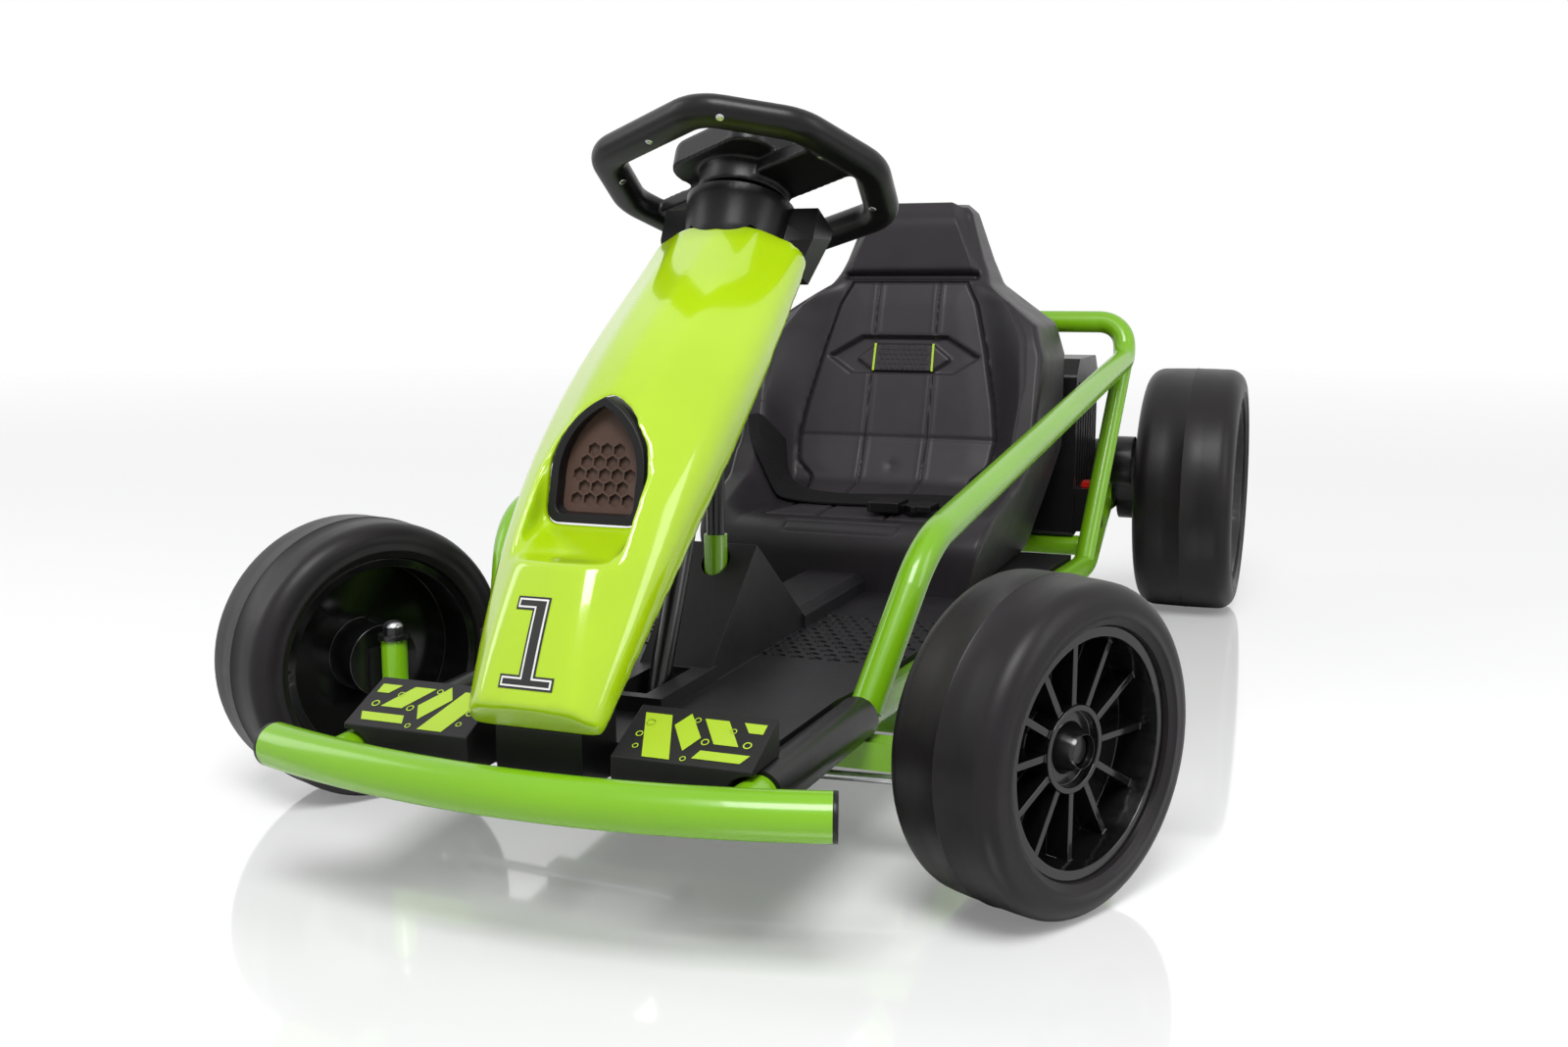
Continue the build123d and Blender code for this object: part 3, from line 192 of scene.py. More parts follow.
LIME = (0.43, 0.66, 0.006)
LIME_TUBE = (0.20, 0.47, 0.008)
M = {
    "lime_nose": paint("lime_nose_gloss", LIME, 0.16, 0.7),
    "lime_frame": paint("lime_frame_gloss", LIME_TUBE, 0.24, 0.25),
    "black_plastic": plastic("black_plastic_satin", (0.0055, 0.0050, 0.0057), 0.33),
    "floor_plastic": plastic("black_floor_grain", (0.0120, 0.0108, 0.0125), 0.42, 0.16, 1200.0),
    "black_metal": paint("black_metal_coat", (0.008, 0.008, 0.009), 0.3, 0.2),
    "zinc": steel("zinc_steel_bright", (0.55, 0.55, 0.57), 0.32),
    "tyre": rubber("tyre_moulded", (0.0105, 0.0088, 0.0100), 0.40),
    "rim": plastic("rim_black_gloss", (0.0045, 0.0045, 0.0048), 0.17, 0.02, specular=0.55),
    "seat_plastic": plastic("seat_moulded", (0.0175, 0.0150, 0.0175), 0.40, 0.12, 1400.0),
    "seat_cover": plastic("seat_soft_skin", (0.0235, 0.0195, 0.0230), 0.42, 0.14, 1200.0, 0.04),
    "webbing": webbing("belt_webbing", (0.004, 0.004, 0.004)),
    "battery_case": plastic("battery_case_matt", (0.02, 0.02, 0.022), 0.5),
    "red_switch": plastic("switch_red", (0.55, 0.012, 0.008), 0.25, 0.02),
    "mesh": plastic("mesh_brown", (0.085, 0.050, 0.038), 0.4),
    "white_print": paint("print_white", (0.8, 0.8, 0.78), 0.35, 0.3),
    "black_print": paint("print_black", (0.006, 0.006, 0.006), 0.3, 0.4),
    "lime_print": paint("print_lime", (0.42, 0.62, 0.03), 0.35, 0.2),
}

SLOT_MATERIAL = {
    "lime_frame": "lime_frame", "lime_nose": "lime_nose", "black_plastic": "black_plastic",
    "black_metal": "black_metal", "zinc_steel": "zinc", "tyre": "tyre", "rim": "rim",
    "seat_plastic": "seat_plastic", "seat_cover": "seat_cover", "webbing": "webbing",
    "battery_case": "battery_case", "red_switch": "red_switch", "mesh": "mesh",
}


def dress_frame():
    """Every carried-over CAD node gets its slot's material; the floor pan and footrests get the floor
    plastic.
    """
    for row in frame["record"]["subparts"]:
        node = frame["nodes"][row["node"]]
        node.data.materials.clear()
        node.data.materials.append(M[SLOT_MATERIAL[row["material_slot"]]])
    for name in ("floor_pan", "footrests"):
        frame["nodes"][name].data.materials.clear()
        frame["nodes"][name].data.materials.append(M["floor_plastic"])


# Mesh helpers

def mesh_piece(name, verts, faces, material, smooth_deg=35.0):
    """Object from points and faces, with doubled points merged and faces turned outwards."""
    mesh = bpy.data.meshes.new(name)
    mesh.from_pydata([tuple(v) for v in verts], [], faces)
    mesh.validate()
    tidy = bmesh.new()
    tidy.from_mesh(mesh)
    bmesh.ops.remove_doubles(tidy, verts=tidy.verts, dist=1e-6)
    bmesh.ops.recalc_face_normals(tidy, faces=tidy.faces)
    tidy.to_mesh(mesh)
    tidy.free()
    made = bpy.data.objects.new(name, mesh)
    bpy.context.scene.collection.objects.link(made)
    mesh.materials.append(M[material])
    shade(made, smooth_deg)
    return made


def shade(piece, smooth_deg):
    """Smooth shading, with edges sharper than an angle kept."""
    for polygon in piece.data.polygons:
        polygon.use_smooth = True
    piece.data.set_sharp_from_angle(angle=radians(smooth_deg))


def grid_faces(rows, columns, wrap_rows=False, wrap_columns=False):
    """Quads over a grid of points that are numbered row by row."""
    faces = []
    for i in range(rows if wrap_rows else rows - 1):
        for j in range(columns if wrap_columns else columns - 1):
            a, b = i * columns + j, i * columns + (j + 1) % columns
            c, d = ((i + 1) % rows) * columns + (j + 1) % columns, ((i + 1) % rows) * columns + j
            faces.append((a, b, c, d))
    return faces


def place(piece, body, slot, *replaced):
    """Puts a piece on its body and over the CAD nodes that it replaces; its slot is not used."""
    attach(piece, body)
    if replaced:
        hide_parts(*replaced)
    return piece


def bevelled(piece, width, segments=2, angle=30.0):
    """The piece, with its sharp edges rounded by a modifier."""
    bevel = piece.modifiers.new("bevel", "BEVEL")
    bevel.width = width
    bevel.segments = segments
    bevel.limit_method = "ANGLE"
    bevel.angle_limit = radians(angle)
    bevel.harden_normals = True
    return piece


def added(verts, faces, more, more_faces):
    """Appends points, and faces that count from the first of them."""
    base = len(verts)
    verts += more
    faces += [tuple(base + k for k in face) for face in more_faces]


def lathe(profile, segments):
    """Points and faces of an (x, radius) outline turned about the X axis, closed on itself."""
    verts = []
    for x, r in profile:
        for k in range(segments):
            turn = 2 * pi * k / segments
            verts.append((x, r * cos(turn), r * sin(turn)))
    return verts, grid_faces(len(profile), segments, wrap_rows=True, wrap_columns=True)


# Wheels, built about the X axis with the outer face towards +X

STEER_REST = radians(-26.0)
KINGPIN_X = 0.235
KINGPIN_OFFSET = 0.050
WHEELBASE = 0.985
REAR_HALF_TRACK = 0.270
# Columns: radius, width, rim radius
WHEEL_SIZES = {"front": (0.110, 0.085, 0.082), "rear": (0.150, 0.115, 0.114)}
TYRE_SEGMENTS = 96
SHOULDER_STEPS = 8
# Share of the width in each shoulder, and of the sidewall below its step
SHOULDER_SHARE = 0.17
BAND_SHARE = 0.55
SEAM = 0.0006
SEAM_HALF = 0.0008


def wheel_frames():
    """Name, body, size and matrix of the four wheels."""
    rows = []
    for name, side in (("left", 1), ("right", -1)):
        knuckle = Matrix.Translation(at(side * KINGPIN_X, 0, 0)) @ Matrix.Rotation(STEER_REST, 4, "Z")
        flip = Matrix.Scale(side, 4, (1, 0, 0))
        front = knuckle @ flip @ Matrix.Translation((KINGPIN_OFFSET, 0, WHEEL_SIZES["front"][0]))
        rear = flip @ Matrix.Translation(at(REAR_HALF_TRACK, WHEELBASE, WHEEL_SIZES["rear"][0]))
        rows.append((f"front_{name}", f"front_wheel_{name}", "front", front))
        rows.append((f"rear_{name}", f"rear_wheel_{name}", "rear", rear))
    return rows


def tyre_profile(radius, width, rim_r):
    """Slick tyre's outline: crowned tread with a mould seam, round shoulders, stepped sidewall, bead."""
    half = width / 2
    shoulder = SHOULDER_SHARE * width
    outline = []
    tread = half - shoulder
    for k in range(SHOULDER_STEPS + 1):
        turn = radians(90.0 * k / SHOULDER_STEPS)
        outline.append((tread + shoulder * sin(turn), radius - shoulder + shoulder * cos(turn) - SEAM))
    middle = [(tread * 0.6, radius - 0.0002), (SEAM_HALF, radius), (0.0, radius + SEAM), (-SEAM_HALF, radius),
              (-tread * 0.6, radius - 0.0002)]
    band = rim_r + BAND_SHARE * (radius - shoulder - rim_r)
    side = [(half, band + 0.0015), (half + 0.0004, band + 0.001), (half + 0.0004, band - 0.001),
            (half - 0.0008, band - 0.002), (half - 0.0015, rim_r + 0.004), (half - 0.003, rim_r + 0.001),
            (half - 0.007, rim_r)]
    right = outline + side
    left = [(-x, r) for x, r in reversed(right)]
    return left + list(reversed(middle)) + right


def tyres():
    """Turned skins in the tyres' places."""
    for name, body, size, matrix in wheel_frames():
        radius, width, rim_r = WHEEL_SIZES[size]
        verts, faces = lathe(tyre_profile(radius, width, rim_r), TYRE_SEGMENTS)
        piece = mesh_piece(f"tyre_{name}_skin", [matrix @ Vector(v) for v in verts], faces, "tyre", 40)
        place(piece, body, "tyre", f"tyre_{name}")


# Seat, drawn on a surface with two measures: x across and s along its middle line from the front foot up

# Columns: back, height, of the middle line
SEAT_MIDDLE = ((0.372, 0.116), (0.372, 0.160), (0.377, 0.170), (0.400, 0.178), (0.480, 0.180), (0.550, 0.196),
               (0.572, 0.240), (0.600, 0.330), (0.618, 0.392), (0.624, 0.412), (0.634, 0.474), (0.652, 0.491))
# Columns: s, back and height of the wings' front edge, back and height of the rear skin
SEAT_LINES = (
    (0.000, 0.372, 0.116, 0.380, 0.116), (0.044, 0.372, 0.160, 0.395, 0.116),
    (0.055, 0.377, 0.170, 0.410, 0.116), (0.080, 0.399, 0.186, 0.440, 0.116),
    (0.160, 0.478, 0.208, 0.540, 0.116), (0.232, 0.524, 0.240, 0.650, 0.118),
    (0.281, 0.541, 0.284, 0.668, 0.180), (0.375, 0.566, 0.345, 0.688, 0.330),
    (0.440, 0.600, 0.394, 0.696, 0.395), (0.461, 0.632, 0.412, 0.698, 0.425),
    (0.534, 0.650, 0.476, 0.690, 0.484), (0.552, 0.660, 0.488, 0.676, 0.491),
)
# Columns: s, half widths of the pad, of the wings' foot and of their front edge
SEAT_WIDTHS = (
    (0.000, 0.108, 0.112, 0.124), (0.080, 0.100, 0.106, 0.128), (0.166, 0.078, 0.102, 0.132),
    (0.205, 0.084, 0.103, 0.134), (0.238, 0.089, 0.107, 0.136), (0.254, 0.107, 0.109, 0.137),
    (0.283, 0.110, 0.111, 0.139), (0.318, 0.105, 0.106, 0.139), (0.381, 0.091, 0.092, 0.136),
    (0.430, 0.078, 0.079, 0.114), (0.454, 0.065, 0.068, 0.090), (0.470, 0.065, 0.068, 0.080),
    (0.521, 0.046, 0.046, 0.060), (0.552, 0.034, 0.036, 0.048),
)
# Columns: height, half width of the seat's outline from ahead
SEAT_HALF = ((0.116, 0.128), (0.160, 0.140), (0.230, 0.160), (0.330, 0.158), (0.362, 0.147), (0.404, 0.088),
             (0.430, 0.076), (0.480, 0.059), (0.491, 0.048))
# Seams as lines of (x, s) on the left half, repeated on the right
INNER_SEAMS = (((0.034, 0.100), (0.034, 0.352)), ((0.034, 0.397), (0.0335, 0.453)))
PAD_FROM = 0.098
PAD_TO = 0.456
CREASE_S = 0.283
GROOVE_S = 0.4615
DIMPLE_S = 0.251
# Half outlines of the vent's recess and of its inner panel, in (x, s)
VENT_EYE = ((0.087, 0.372), (0.047, 0.396), (0.057, 0.352))
VENT_PANEL = ((0.054, 0.370), (0.032, 0.387), (0.033, 0.3555))
PAD_T = 0.009
PAD_GAP = 0.0002
PAD_INSIDE = 0.0008
SEAT_PITCH = 0.0025
SHELL_COLUMNS = 141
REAR_COLUMNS = 25
PAD_COLUMNS = 121
PAD_ROWS = 190
# Distances that the shell's outline stays inside the solid's, ahead and behind
SHELL_INSIDE = 0.005
SHELL_REAR_INSIDE = 0.007
REAR_SINK = 0.004
REAR_SWELL = 0.006
# Height above which the rear skin swells
REAR_SWELL_FROM = 0.15
# Share of the wings' section that is rounded, the rest being straight
WING_CURVE = 0.25
# Columns: share of the way from the wings' front edge to the rear skin, share of the full width
SHELL_SIDE = ((0.02, 0.7), (0.06, 1.0), (0.2, 1.0), (0.4, 1.0), (0.6, 1.0), (0.8, 1.0), (0.94, 1.0),
              (0.985, 0.7))
# Depth and half width of each rounded channel, and of the puff beside a seam
SEAM_CUT = (0.0022, 0.0017)
SEAM_PUFF = (0.0005, 0.0020)
PUFF_AWAY = 0.0045
CREASE_CUT = (0.0014, 0.0022)
HEADREST_CUT = (0.011, 0.0035)
WING_CUT = (0.0012, 0.0016)
LIP_CUT = (0.0016, 0.0015)
DIMPLE_CUT = (0.0015, 0.006)
# Depth and edge width of the vent's recess, of its panel's rise, and of the pad's crown and rolled edge
EYE_SINK = (0.0065, 0.004)
PANEL_RISE = (0.0040, 0.002)
PAD_CROWN = (0.0012, 0.03)
PAD_ROLL = (0.0042, 0.0055)
PAD_BED_EDGE = 0.003
# Half width and fading end of the headrest's groove, and the stretch of s with a channel along the wings
GROOVE_HALF = (0.078, 0.008)
WING_STRETCH = (0.30, 0.44)
# Panel line under the front edge: half width, middle and half height
LIP_LINE = (0.056, 0.068, 0.010)


def smooth(values, reach):
    """Values averaged over a number of neighbours either side, with their ends kept."""
    kernel = np.hanning(2 * reach + 3)[1:-1]
    kernel /= kernel.sum()
    before = 2 * values[0] - values[reach:0:-1]
    after = 2 * values[-1] - values[-2:-reach - 2:-1]
    return np.convolve(np.concatenate([before, values, after]), kernel, mode="valid")


def step(values):
    """Smooth rise from 0 to 1."""
    t = np.clip(values, 0.0, 1.0)
    return t * t * (3 - 2 * t)


def raised(depth_in, rise):
    """Smooth rise over the edge of a form, from how deep a point lies inside it."""
    height, edge = rise
    return height * step(depth_in / edge)


def channel(away, cut):
    """Depth of a rounded channel at a distance from its middle."""
    depth, half = cut
    return depth * np.exp(-(away / half) ** 2)


def line_distance(x, s, a, b):
    """Distance of points to a straight stretch between two points."""
    ax, ay = a
    dx, dy = b[0] - ax, b[1] - ay
    along = np.clip(((x - ax) * dx + (s - ay) * dy) / (dx * dx + dy * dy), 0, 1)
    return np.hypot(x - ax - along * dx, s - ay - along * dy)


def inside(x, s, half_outline):
    """How far points lie inside a convex outline given by its right half, negative outside."""
    tip, top, low = half_outline
    corners = [tip, top, (-top[0], top[1]), (-tip[0], tip[1]), (-low[0], low[1]), low]
    depth = np.full_like(x, 1.0)
    for a, b in zip(corners, corners[1:] + corners[:1]):
        dx, dy = b[0] - a[0], b[1] - a[1]
        length = np.hypot(dx, dy)
        depth = np.minimum(depth, ((s - a[1]) * -dx + (x - a[0]) * dy) / -length)
    return depth


class SeatSurface:
    """Front of the seat as points and normals for x and s."""

    def __init__(self):
        middle = np.array(SEAT_MIDDLE)
        lengths = np.concatenate([[0], np.cumsum(np.hypot(*np.diff(middle, axis=0).T))])
        self.length = lengths[-1]
        self.s = np.linspace(0, self.length, int(self.length / SEAT_PITCH) + 1)
        columns = [np.interp(self.s, lengths, middle[:, k]) for k in (0, 1)]
        lines = np.array(SEAT_LINES)
        columns += [np.interp(self.s, lines[:, 0], lines[:, k]) for k in (1, 2, 3, 4)]
        widths = np.array(SEAT_WIDTHS)
        self.pad = smooth(np.interp(self.s, widths[:, 0], widths[:, 1]), 2)
        self.foot, self.edge = [smooth(np.interp(self.s, widths[:, 0], widths[:, k]), 8) for k in (2, 3)]
        self.line = [smooth(column, 6) for column in columns]

    def half(self, z):
        """Half width of the seat's outline at a height."""
        table = np.array(SEAT_HALF)
        return np.interp(z, table[:, 0], table[:, 1])

    def rows(self, values, s):
        """Values of a row table at other places along s."""
        return np.interp(s, self.s, values)

    def point(self, x, s):
        """Back and height of the front surface, without seams."""
        foot = self.rows(self.foot, s)
        share = (np.abs(x) - foot) / (self.rows(self.edge, s) - foot)
        blend = WING_CURVE * step(share) + (1 - WING_CURVE) * np.clip(share, 0.0, 1.0)
        back = self.rows(self.line[0], s) * (1 - blend) + self.rows(self.line[2], s) * blend
        height = self.rows(self.line[1], s) * (1 - blend) + self.rows(self.line[3], s) * blend
        return back, height

    def normal(self, s):
        """Outward direction of the middle line, as back and height."""
        back = np.gradient(self.line[0], self.s)
        height = np.gradient(self.line[1], self.s)
        size = np.hypot(back, height)
        return self.rows(-height / size, s), self.rows(back / size, s)


def seam_depth(x, s):
    """How far seams, crease, vent and dimple sink the pad."""
    depth = np.zeros_like(x)
    for line in INNER_SEAMS:
        away = line_distance(np.abs(x), s, *line)
        depth += channel(away, SEAM_CUT) - channel(away - PUFF_AWAY, SEAM_PUFF)
    depth += channel(s - CREASE_S, CREASE_CUT)
    depth += raised(inside(x, s, VENT_EYE), EYE_SINK) - raised(inside(x, s, VENT_PANEL), PANEL_RISE)
    depth += channel(np.hypot(x, s - DIMPLE_S), DIMPLE_CUT)
    return depth


def seat_shell_skin(surface):
    """Moulded bucket and headrest, closed all round."""
    rows = len(surface.s)
    u = np.linspace(-1, 1, SHELL_COLUMNS)
    half = surface.half(surface.line[3])[:, None]
    s = np.repeat(surface.s[:, None], SHELL_COLUMNS, axis=1)
    x = u[None, :] * (half - SHELL_INSIDE)
    back, height = surface.point(x, s)
    nb, nz = surface.normal(s)
    under_pad = step((surface.rows(surface.pad, s) - np.abs(x)) / PAD_BED_EDGE)
    under_pad = under_pad * step((s - PAD_FROM) / PAD_BED_EDGE) * step((PAD_TO - s) / PAD_BED_EDGE)
    sink = PAD_T * under_pad
    groove_half, groove_fade = GROOVE_HALF
    sink += channel(s - GROOVE_S, HEADREST_CUT) * step((groove_half - np.abs(x)) / groove_fade)
    beside_wing = (s > WING_STRETCH[0]) * (s < WING_STRETCH[1])
    sink += channel(np.abs(x) - surface.rows(surface.edge, s), WING_CUT) * beside_wing
    lip_half, lip_s, lip_high = LIP_LINE
    sink += channel(np.maximum(np.abs(x) - lip_half, np.abs(s - lip_s) - lip_high), LIP_CUT)
    front = np.stack([x, back - nb * sink, height - nz * sink], axis=2)
    edge_b, edge_z = surface.line[2], surface.line[3]
    rear_b, rear_z = surface.line[4], surface.line[5]
    side = []
    for share, out in SHELL_SIDE:
        z = edge_z + share * (rear_z - edge_z)
        b = edge_b + share * (rear_b - edge_b)
        w = surface.half(z) - SHELL_INSIDE * (1 - out)
        side.append(np.stack([w, b, z], axis=1)[:, None, :])
    rear = []
    for share in np.linspace(1, -1, REAR_COLUMNS):
        w = share * (surface.half(rear_z) - SHELL_REAR_INSIDE)
        swell = REAR_SWELL * (1 - share * share) * (rear_z > REAR_SWELL_FROM)
        rear.append(np.stack([w, rear_b - REAR_SINK + swell, rear_z], axis=1)[:, None, :])
    mirrored = [part * np.array([-1, 1, 1]) for part in reversed(side)]
    loops = np.concatenate([front] + side + rear + mirrored, axis=1)
    ring = loops.shape[1]
    verts = loops.reshape(-1, 3)
    verts[:, 1] += FRONT_AXLE_Y
    faces = grid_faces(rows, ring, wrap_columns=True)
    faces += [tuple(range(ring)), tuple((rows - 1) * ring + k for k in reversed(range(ring)))]
    return mesh_piece("seat_shell_skin", verts.tolist(), faces, "seat_plastic", 50)


def seat_pad_skin(surface):
    """Pad of the seat, a crowned closed form with its sewn channels."""
    columns, rows = PAD_COLUMNS, PAD_ROWS
    s_line = np.linspace(PAD_FROM, PAD_TO, rows)
    u = np.linspace(-1, 1, columns)
    s = np.repeat(s_line[:, None], columns, axis=1)
    x = u[None, :] * (surface.rows(surface.pad, s) - PAD_INSIDE)
    back, height = surface.point(x * 0.98, s)
    nb, nz = surface.normal(s)
    edge = np.minimum(surface.rows(surface.pad, s) - np.abs(x), np.minimum(s - PAD_FROM, PAD_TO - s))
    crown = raised(edge, PAD_CROWN) + raised(edge, PAD_ROLL) - PAD_ROLL[0]
    rise = crown - seam_depth(x, s)
    top = np.stack([x, back + nb * rise, height + nz * rise], axis=2)
    deep = PAD_T - PAD_GAP
    low = np.stack([x, back - nb * deep, height - nz * deep], axis=2)
    verts = np.concatenate([top.reshape(-1, 3), low.reshape(-1, 3)])
    verts[:, 1] += FRONT_AXLE_Y
    faces = grid_faces(rows, columns)
    base = rows * columns
    faces += [tuple(base + k for k in reversed(face)) for face in grid_faces(rows, columns)]
    border = list(range(columns)) + [i * columns + columns - 1 for i in range(1, rows)]
    border += [(rows - 1) * columns + j for j in reversed(range(columns - 1))]
    border += [i * columns for i in reversed(range(1, rows - 1))]
    for a, b in zip(border, border[1:] + border[:1]):
        faces.append((a, b, base + b, base + a))
    return mesh_piece("seat_pad_skin", verts.tolist(), faces, "seat_cover", 45)


def on_seat(surface, x, s, lift):
    """A point a little above the pad."""
    xs, ss = np.array([x]), np.array([s])
    back, height = surface.point(xs, ss)
    nb, nz = surface.normal(ss)
    return Vector((x, FRONT_AXLE_Y + back[0] + nb[0] * lift, height[0] + nz[0] * lift))


# Six-sided cells of the vent: pitch across and up, first row, half width of their field, and their count
CELL_PITCH = (0.0058, 0.0052)
CELL_FROM = 0.3605
CELL_FIELD = 0.0285
CELL_ROWS = 5
CELL_SPREAD = 5
# Columns: lift off the pad, radius
CELL_LAYERS = ((-0.0035, 0.0030), (-0.0013, 0.0030 * 0.92), (-0.0008, 0.0030 * 0.72))
# Corners of the left vent bar in (s, x), and its low and high lifts
BAR_CORNERS = ((0.3565, 0.0315), (0.3865, 0.0310), (0.3865, 0.0332), (0.3565, 0.0337))
BAR_LIFTS = (-0.0035, -0.0008)
# Open box over a foot of four points
LID_FACES = [(4, 5, 6, 7)] + [(k, (k + 1) % 4, 4 + (k + 1) % 4, 4 + k) for k in range(4)]


def vent_cells(surface):
    """Raised six-sided cells in the middle of the vent's panel."""
    verts, faces = [], []
    cell_faces = grid_faces(len(CELL_LAYERS), 6, wrap_columns=True) + [tuple(12 + k for k in range(6))]
    for row in range(CELL_ROWS):
        for column in range(-CELL_SPREAD, CELL_SPREAD + 1):
            x = (column + 0.5 * (row % 2)) * CELL_PITCH[0]
            s = CELL_FROM + row * CELL_PITCH[1]
            if abs(x) > CELL_FIELD:
                continue
            cell = []
            for lift, size in CELL_LAYERS:
                for k in range(6):
                    turn = radians(60 * k + 30)
                    cell.append(on_seat(surface, x + size * cos(turn), s + size * sin(turn), lift))
            added(verts, faces, cell, cell_faces)
    cells = mesh_piece("seat_vent_cells", verts, faces, "seat_plastic", 30)
    place(cells, "chassis", "black_plastic", "seat_vent")


def vent_bars(surface):
    """Lime bars at both ends of the cells."""
    verts, faces = [], []
    for side in (-1, 1):
        bar = [on_seat(surface, side * x, s, lift) for lift in BAR_LIFTS for s, x in BAR_CORNERS]
        added(verts, faces, bar, LID_FACES)
    bars = mesh_piece("seat_vent_bars", verts, faces, "lime_print", 30)
    place(bars, "chassis", "black_plastic")


# Belt as points of (x, s), its half width and thickness, and its lift off the pad
BELT_ROUTE = ((-0.134, 0.262), (-0.126, 0.220), (-0.090, 0.178), (-0.040, 0.166), (0.010, 0.172),
              (0.045, 0.176), (0.100, 0.176))
BELT_HALF = 0.017
BELT_T = 0.0016
BELT_LIFT = 0.0030
# Points over the belt's width, and between two points of its route
BELT_ACROSS = 7
BELT_ALONG = 8


def strap(name, path, half, thickness, material, surface):
    """Flat webbing along points of (x, s) that lies on the seat."""
    dense = []
    for a, b in zip(path, path[1:]):
        for k in range(BELT_ALONG):
            share = k / BELT_ALONG
            dense.append((a[0] + (b[0] - a[0]) * share, a[1] + (b[1] - a[1]) * share))
    dense.append(path[-1])
    xs, ss = [smooth(np.array([row[k] for row in dense]), 5) for k in (0, 1)]
    dx, ds = np.gradient(xs), np.gradient(ss)
    size = np.hypot(dx, ds)
    verts = []
    across = BELT_ACROSS
    for i in range(len(xs)):
        ring = []
        for level in (thickness, 0.0):
            order = range(across) if level else reversed(range(across))
            for j in order:
                side = half * (2 * j / (across - 1) - 1)
                x, s = xs[i] - side * ds[i] / size[i], ss[i] + side * dx[i] / size[i]
                ring.append(on_seat(surface, x, s, BELT_LIFT + level))
        verts += ring
    ring = 2 * across
    faces = grid_faces(len(xs), ring, wrap_columns=True)
    faces += [tuple(range(ring)), tuple((len(xs) - 1) * ring + k for k in reversed(range(ring)))]
    return mesh_piece(name, verts, faces, material, 40)


def seat():
    """Shell, pad, vent and belt on one surface."""
    surface = SeatSurface()
    place(seat_shell_skin(surface), "chassis", "seat_plastic", "seat_shell")
    pad = place(seat_pad_skin(surface), "chassis", "seat_cover", "seat_pad")
    vent_cells(surface)
    vent_bars(surface)
    belt = strap("seat_belt_strap", BELT_ROUTE, BELT_HALF, BELT_T, "webbing", surface)
    place(belt, "chassis", "webbing", "seat_belt")


# Low and high faces of the belt's buckle, in millimetres
BUCKLE_Z = (183.2, 193.6)
BUCKLE_EDGE = 0.0012
# Socket, tongue and bridge as outlines in (x, back), with how far they lie below the top, in millimetres
BUCKLE_PARTS = (
    (((14, 431), (18, 428), (46, 430), (46, 468), (18, 470), (14, 467)), 0.0),
    (((49, 440), (58, 430), (60, 427), (64, 427), (64, 432), (78, 432), (78, 466), (64, 466), (64, 471),
      (60, 471), (58, 468), (49, 458)), 2.2),
    (((44, 444), (52, 444), (52, 454), (44, 454)), 3.4),
)


def slab(outline, low, high):
    """Flat block over an outline of (x, back) in millimetres, as points and faces."""
    count = len(outline)
    verts = [at(x / 1000, back / 1000, z / 1000) for z in (low, high) for x, back in outline]
    faces = grid_faces(2, count, wrap_columns=True)
    faces += [tuple(reversed(range(count))), tuple(range(count, 2 * count))]
    return verts, faces


def buckle():
    """Socket, tongue and bridge as one piece."""
    verts, faces = [], []
    for outline, sink in BUCKLE_PARTS:
        added(verts, faces, *slab(outline, BUCKLE_Z[0] + sink / 2, BUCKLE_Z[1] - sink))
    piece = mesh_piece("belt_buckle_skin", verts, faces, "black_plastic", 30)
    place(bevelled(piece, BUCKLE_EDGE, 3), "chassis", "black_plastic", "belt_buckle")


# Pieces grown from carried-over solids

def joined_copy(names):
    """One mesh object with copies of CAD nodes, in the row frame."""
    verts, faces = [], []
    for name in names:
        node = frame["nodes"][name]
        points = [node.matrix_world @ v.co for v in node.data.vertices]
        added(verts, faces, points, [polygon.vertices for polygon in node.data.polygons])
    mesh = bpy.data.meshes.new("joined")
    mesh.from_pydata([tuple(v) for v in verts], [], faces)
    made = bpy.data.objects.new("joined", mesh)
    bpy.context.scene.collection.objects.link(made)
    return made


def applied(piece):
    """Verts and faces of an object with its modifiers, and the object is removed."""
    depsgraph = bpy.context.evaluated_depsgraph_get()
    mesh = bpy.data.meshes.new_from_object(piece.evaluated_get(depsgraph))
    verts = [v.co.copy() for v in mesh.vertices]
    faces = [tuple(polygon.vertices) for polygon in mesh.polygons]
    bpy.data.objects.remove(piece)
    return verts, faces


def moulded(name, nodes, voxel, rounds, material):
    """Blends nodes into one moulding whose corners are rounded."""
    raw = joined_copy(nodes)
    remesh = raw.modifiers.new("remesh", "REMESH")
    remesh.mode = "VOXEL"
    remesh.voxel_size = voxel
    blend = raw.modifiers.new("blend", "CORRECTIVE_SMOOTH")
    blend.iterations = rounds
    blend.smooth_type = "LENGTH_WEIGHTED"
    blend.use_only_smooth = True
    blend.factor = BLEND_FACTOR
    verts, faces = applied(raw)
    return mesh_piece(name, verts, faces, material, 60)


# Middle of the steering wheel, its axis, sideways and upward directions, and the drop to its underside
RING_AT = (0.0, 0.162, 0.499)
RING_DROP = 0.020
RING_NORMAL = Vector((0.0, 0.4226, 0.9063))
RING_ACROSS = Vector((-0.8660, 0.4532, -0.2113))
RING_UP = Vector((-0.5, -0.7849, 0.3660))
# Screws of the underside, in millimetres across and up from the middle
RING_SCREWS = ((-76.9, 85.6), (-4.9, 95.7), (69.0, 68.0), (-72.9, -71.0), (-30.8, -46.4), (-93.5, 3.3))
SCREW_R = 0.0030
SCREW_H = 0.0009
SCREW_SIDES = 18
SCREW_RINGS = 4
# Columns: voxel size, rounds of smoothing
RING_BLEND = (0.0016, 9)
NOSE_BLEND = (0.0019, 34)
BLEND_FACTOR = 0.6


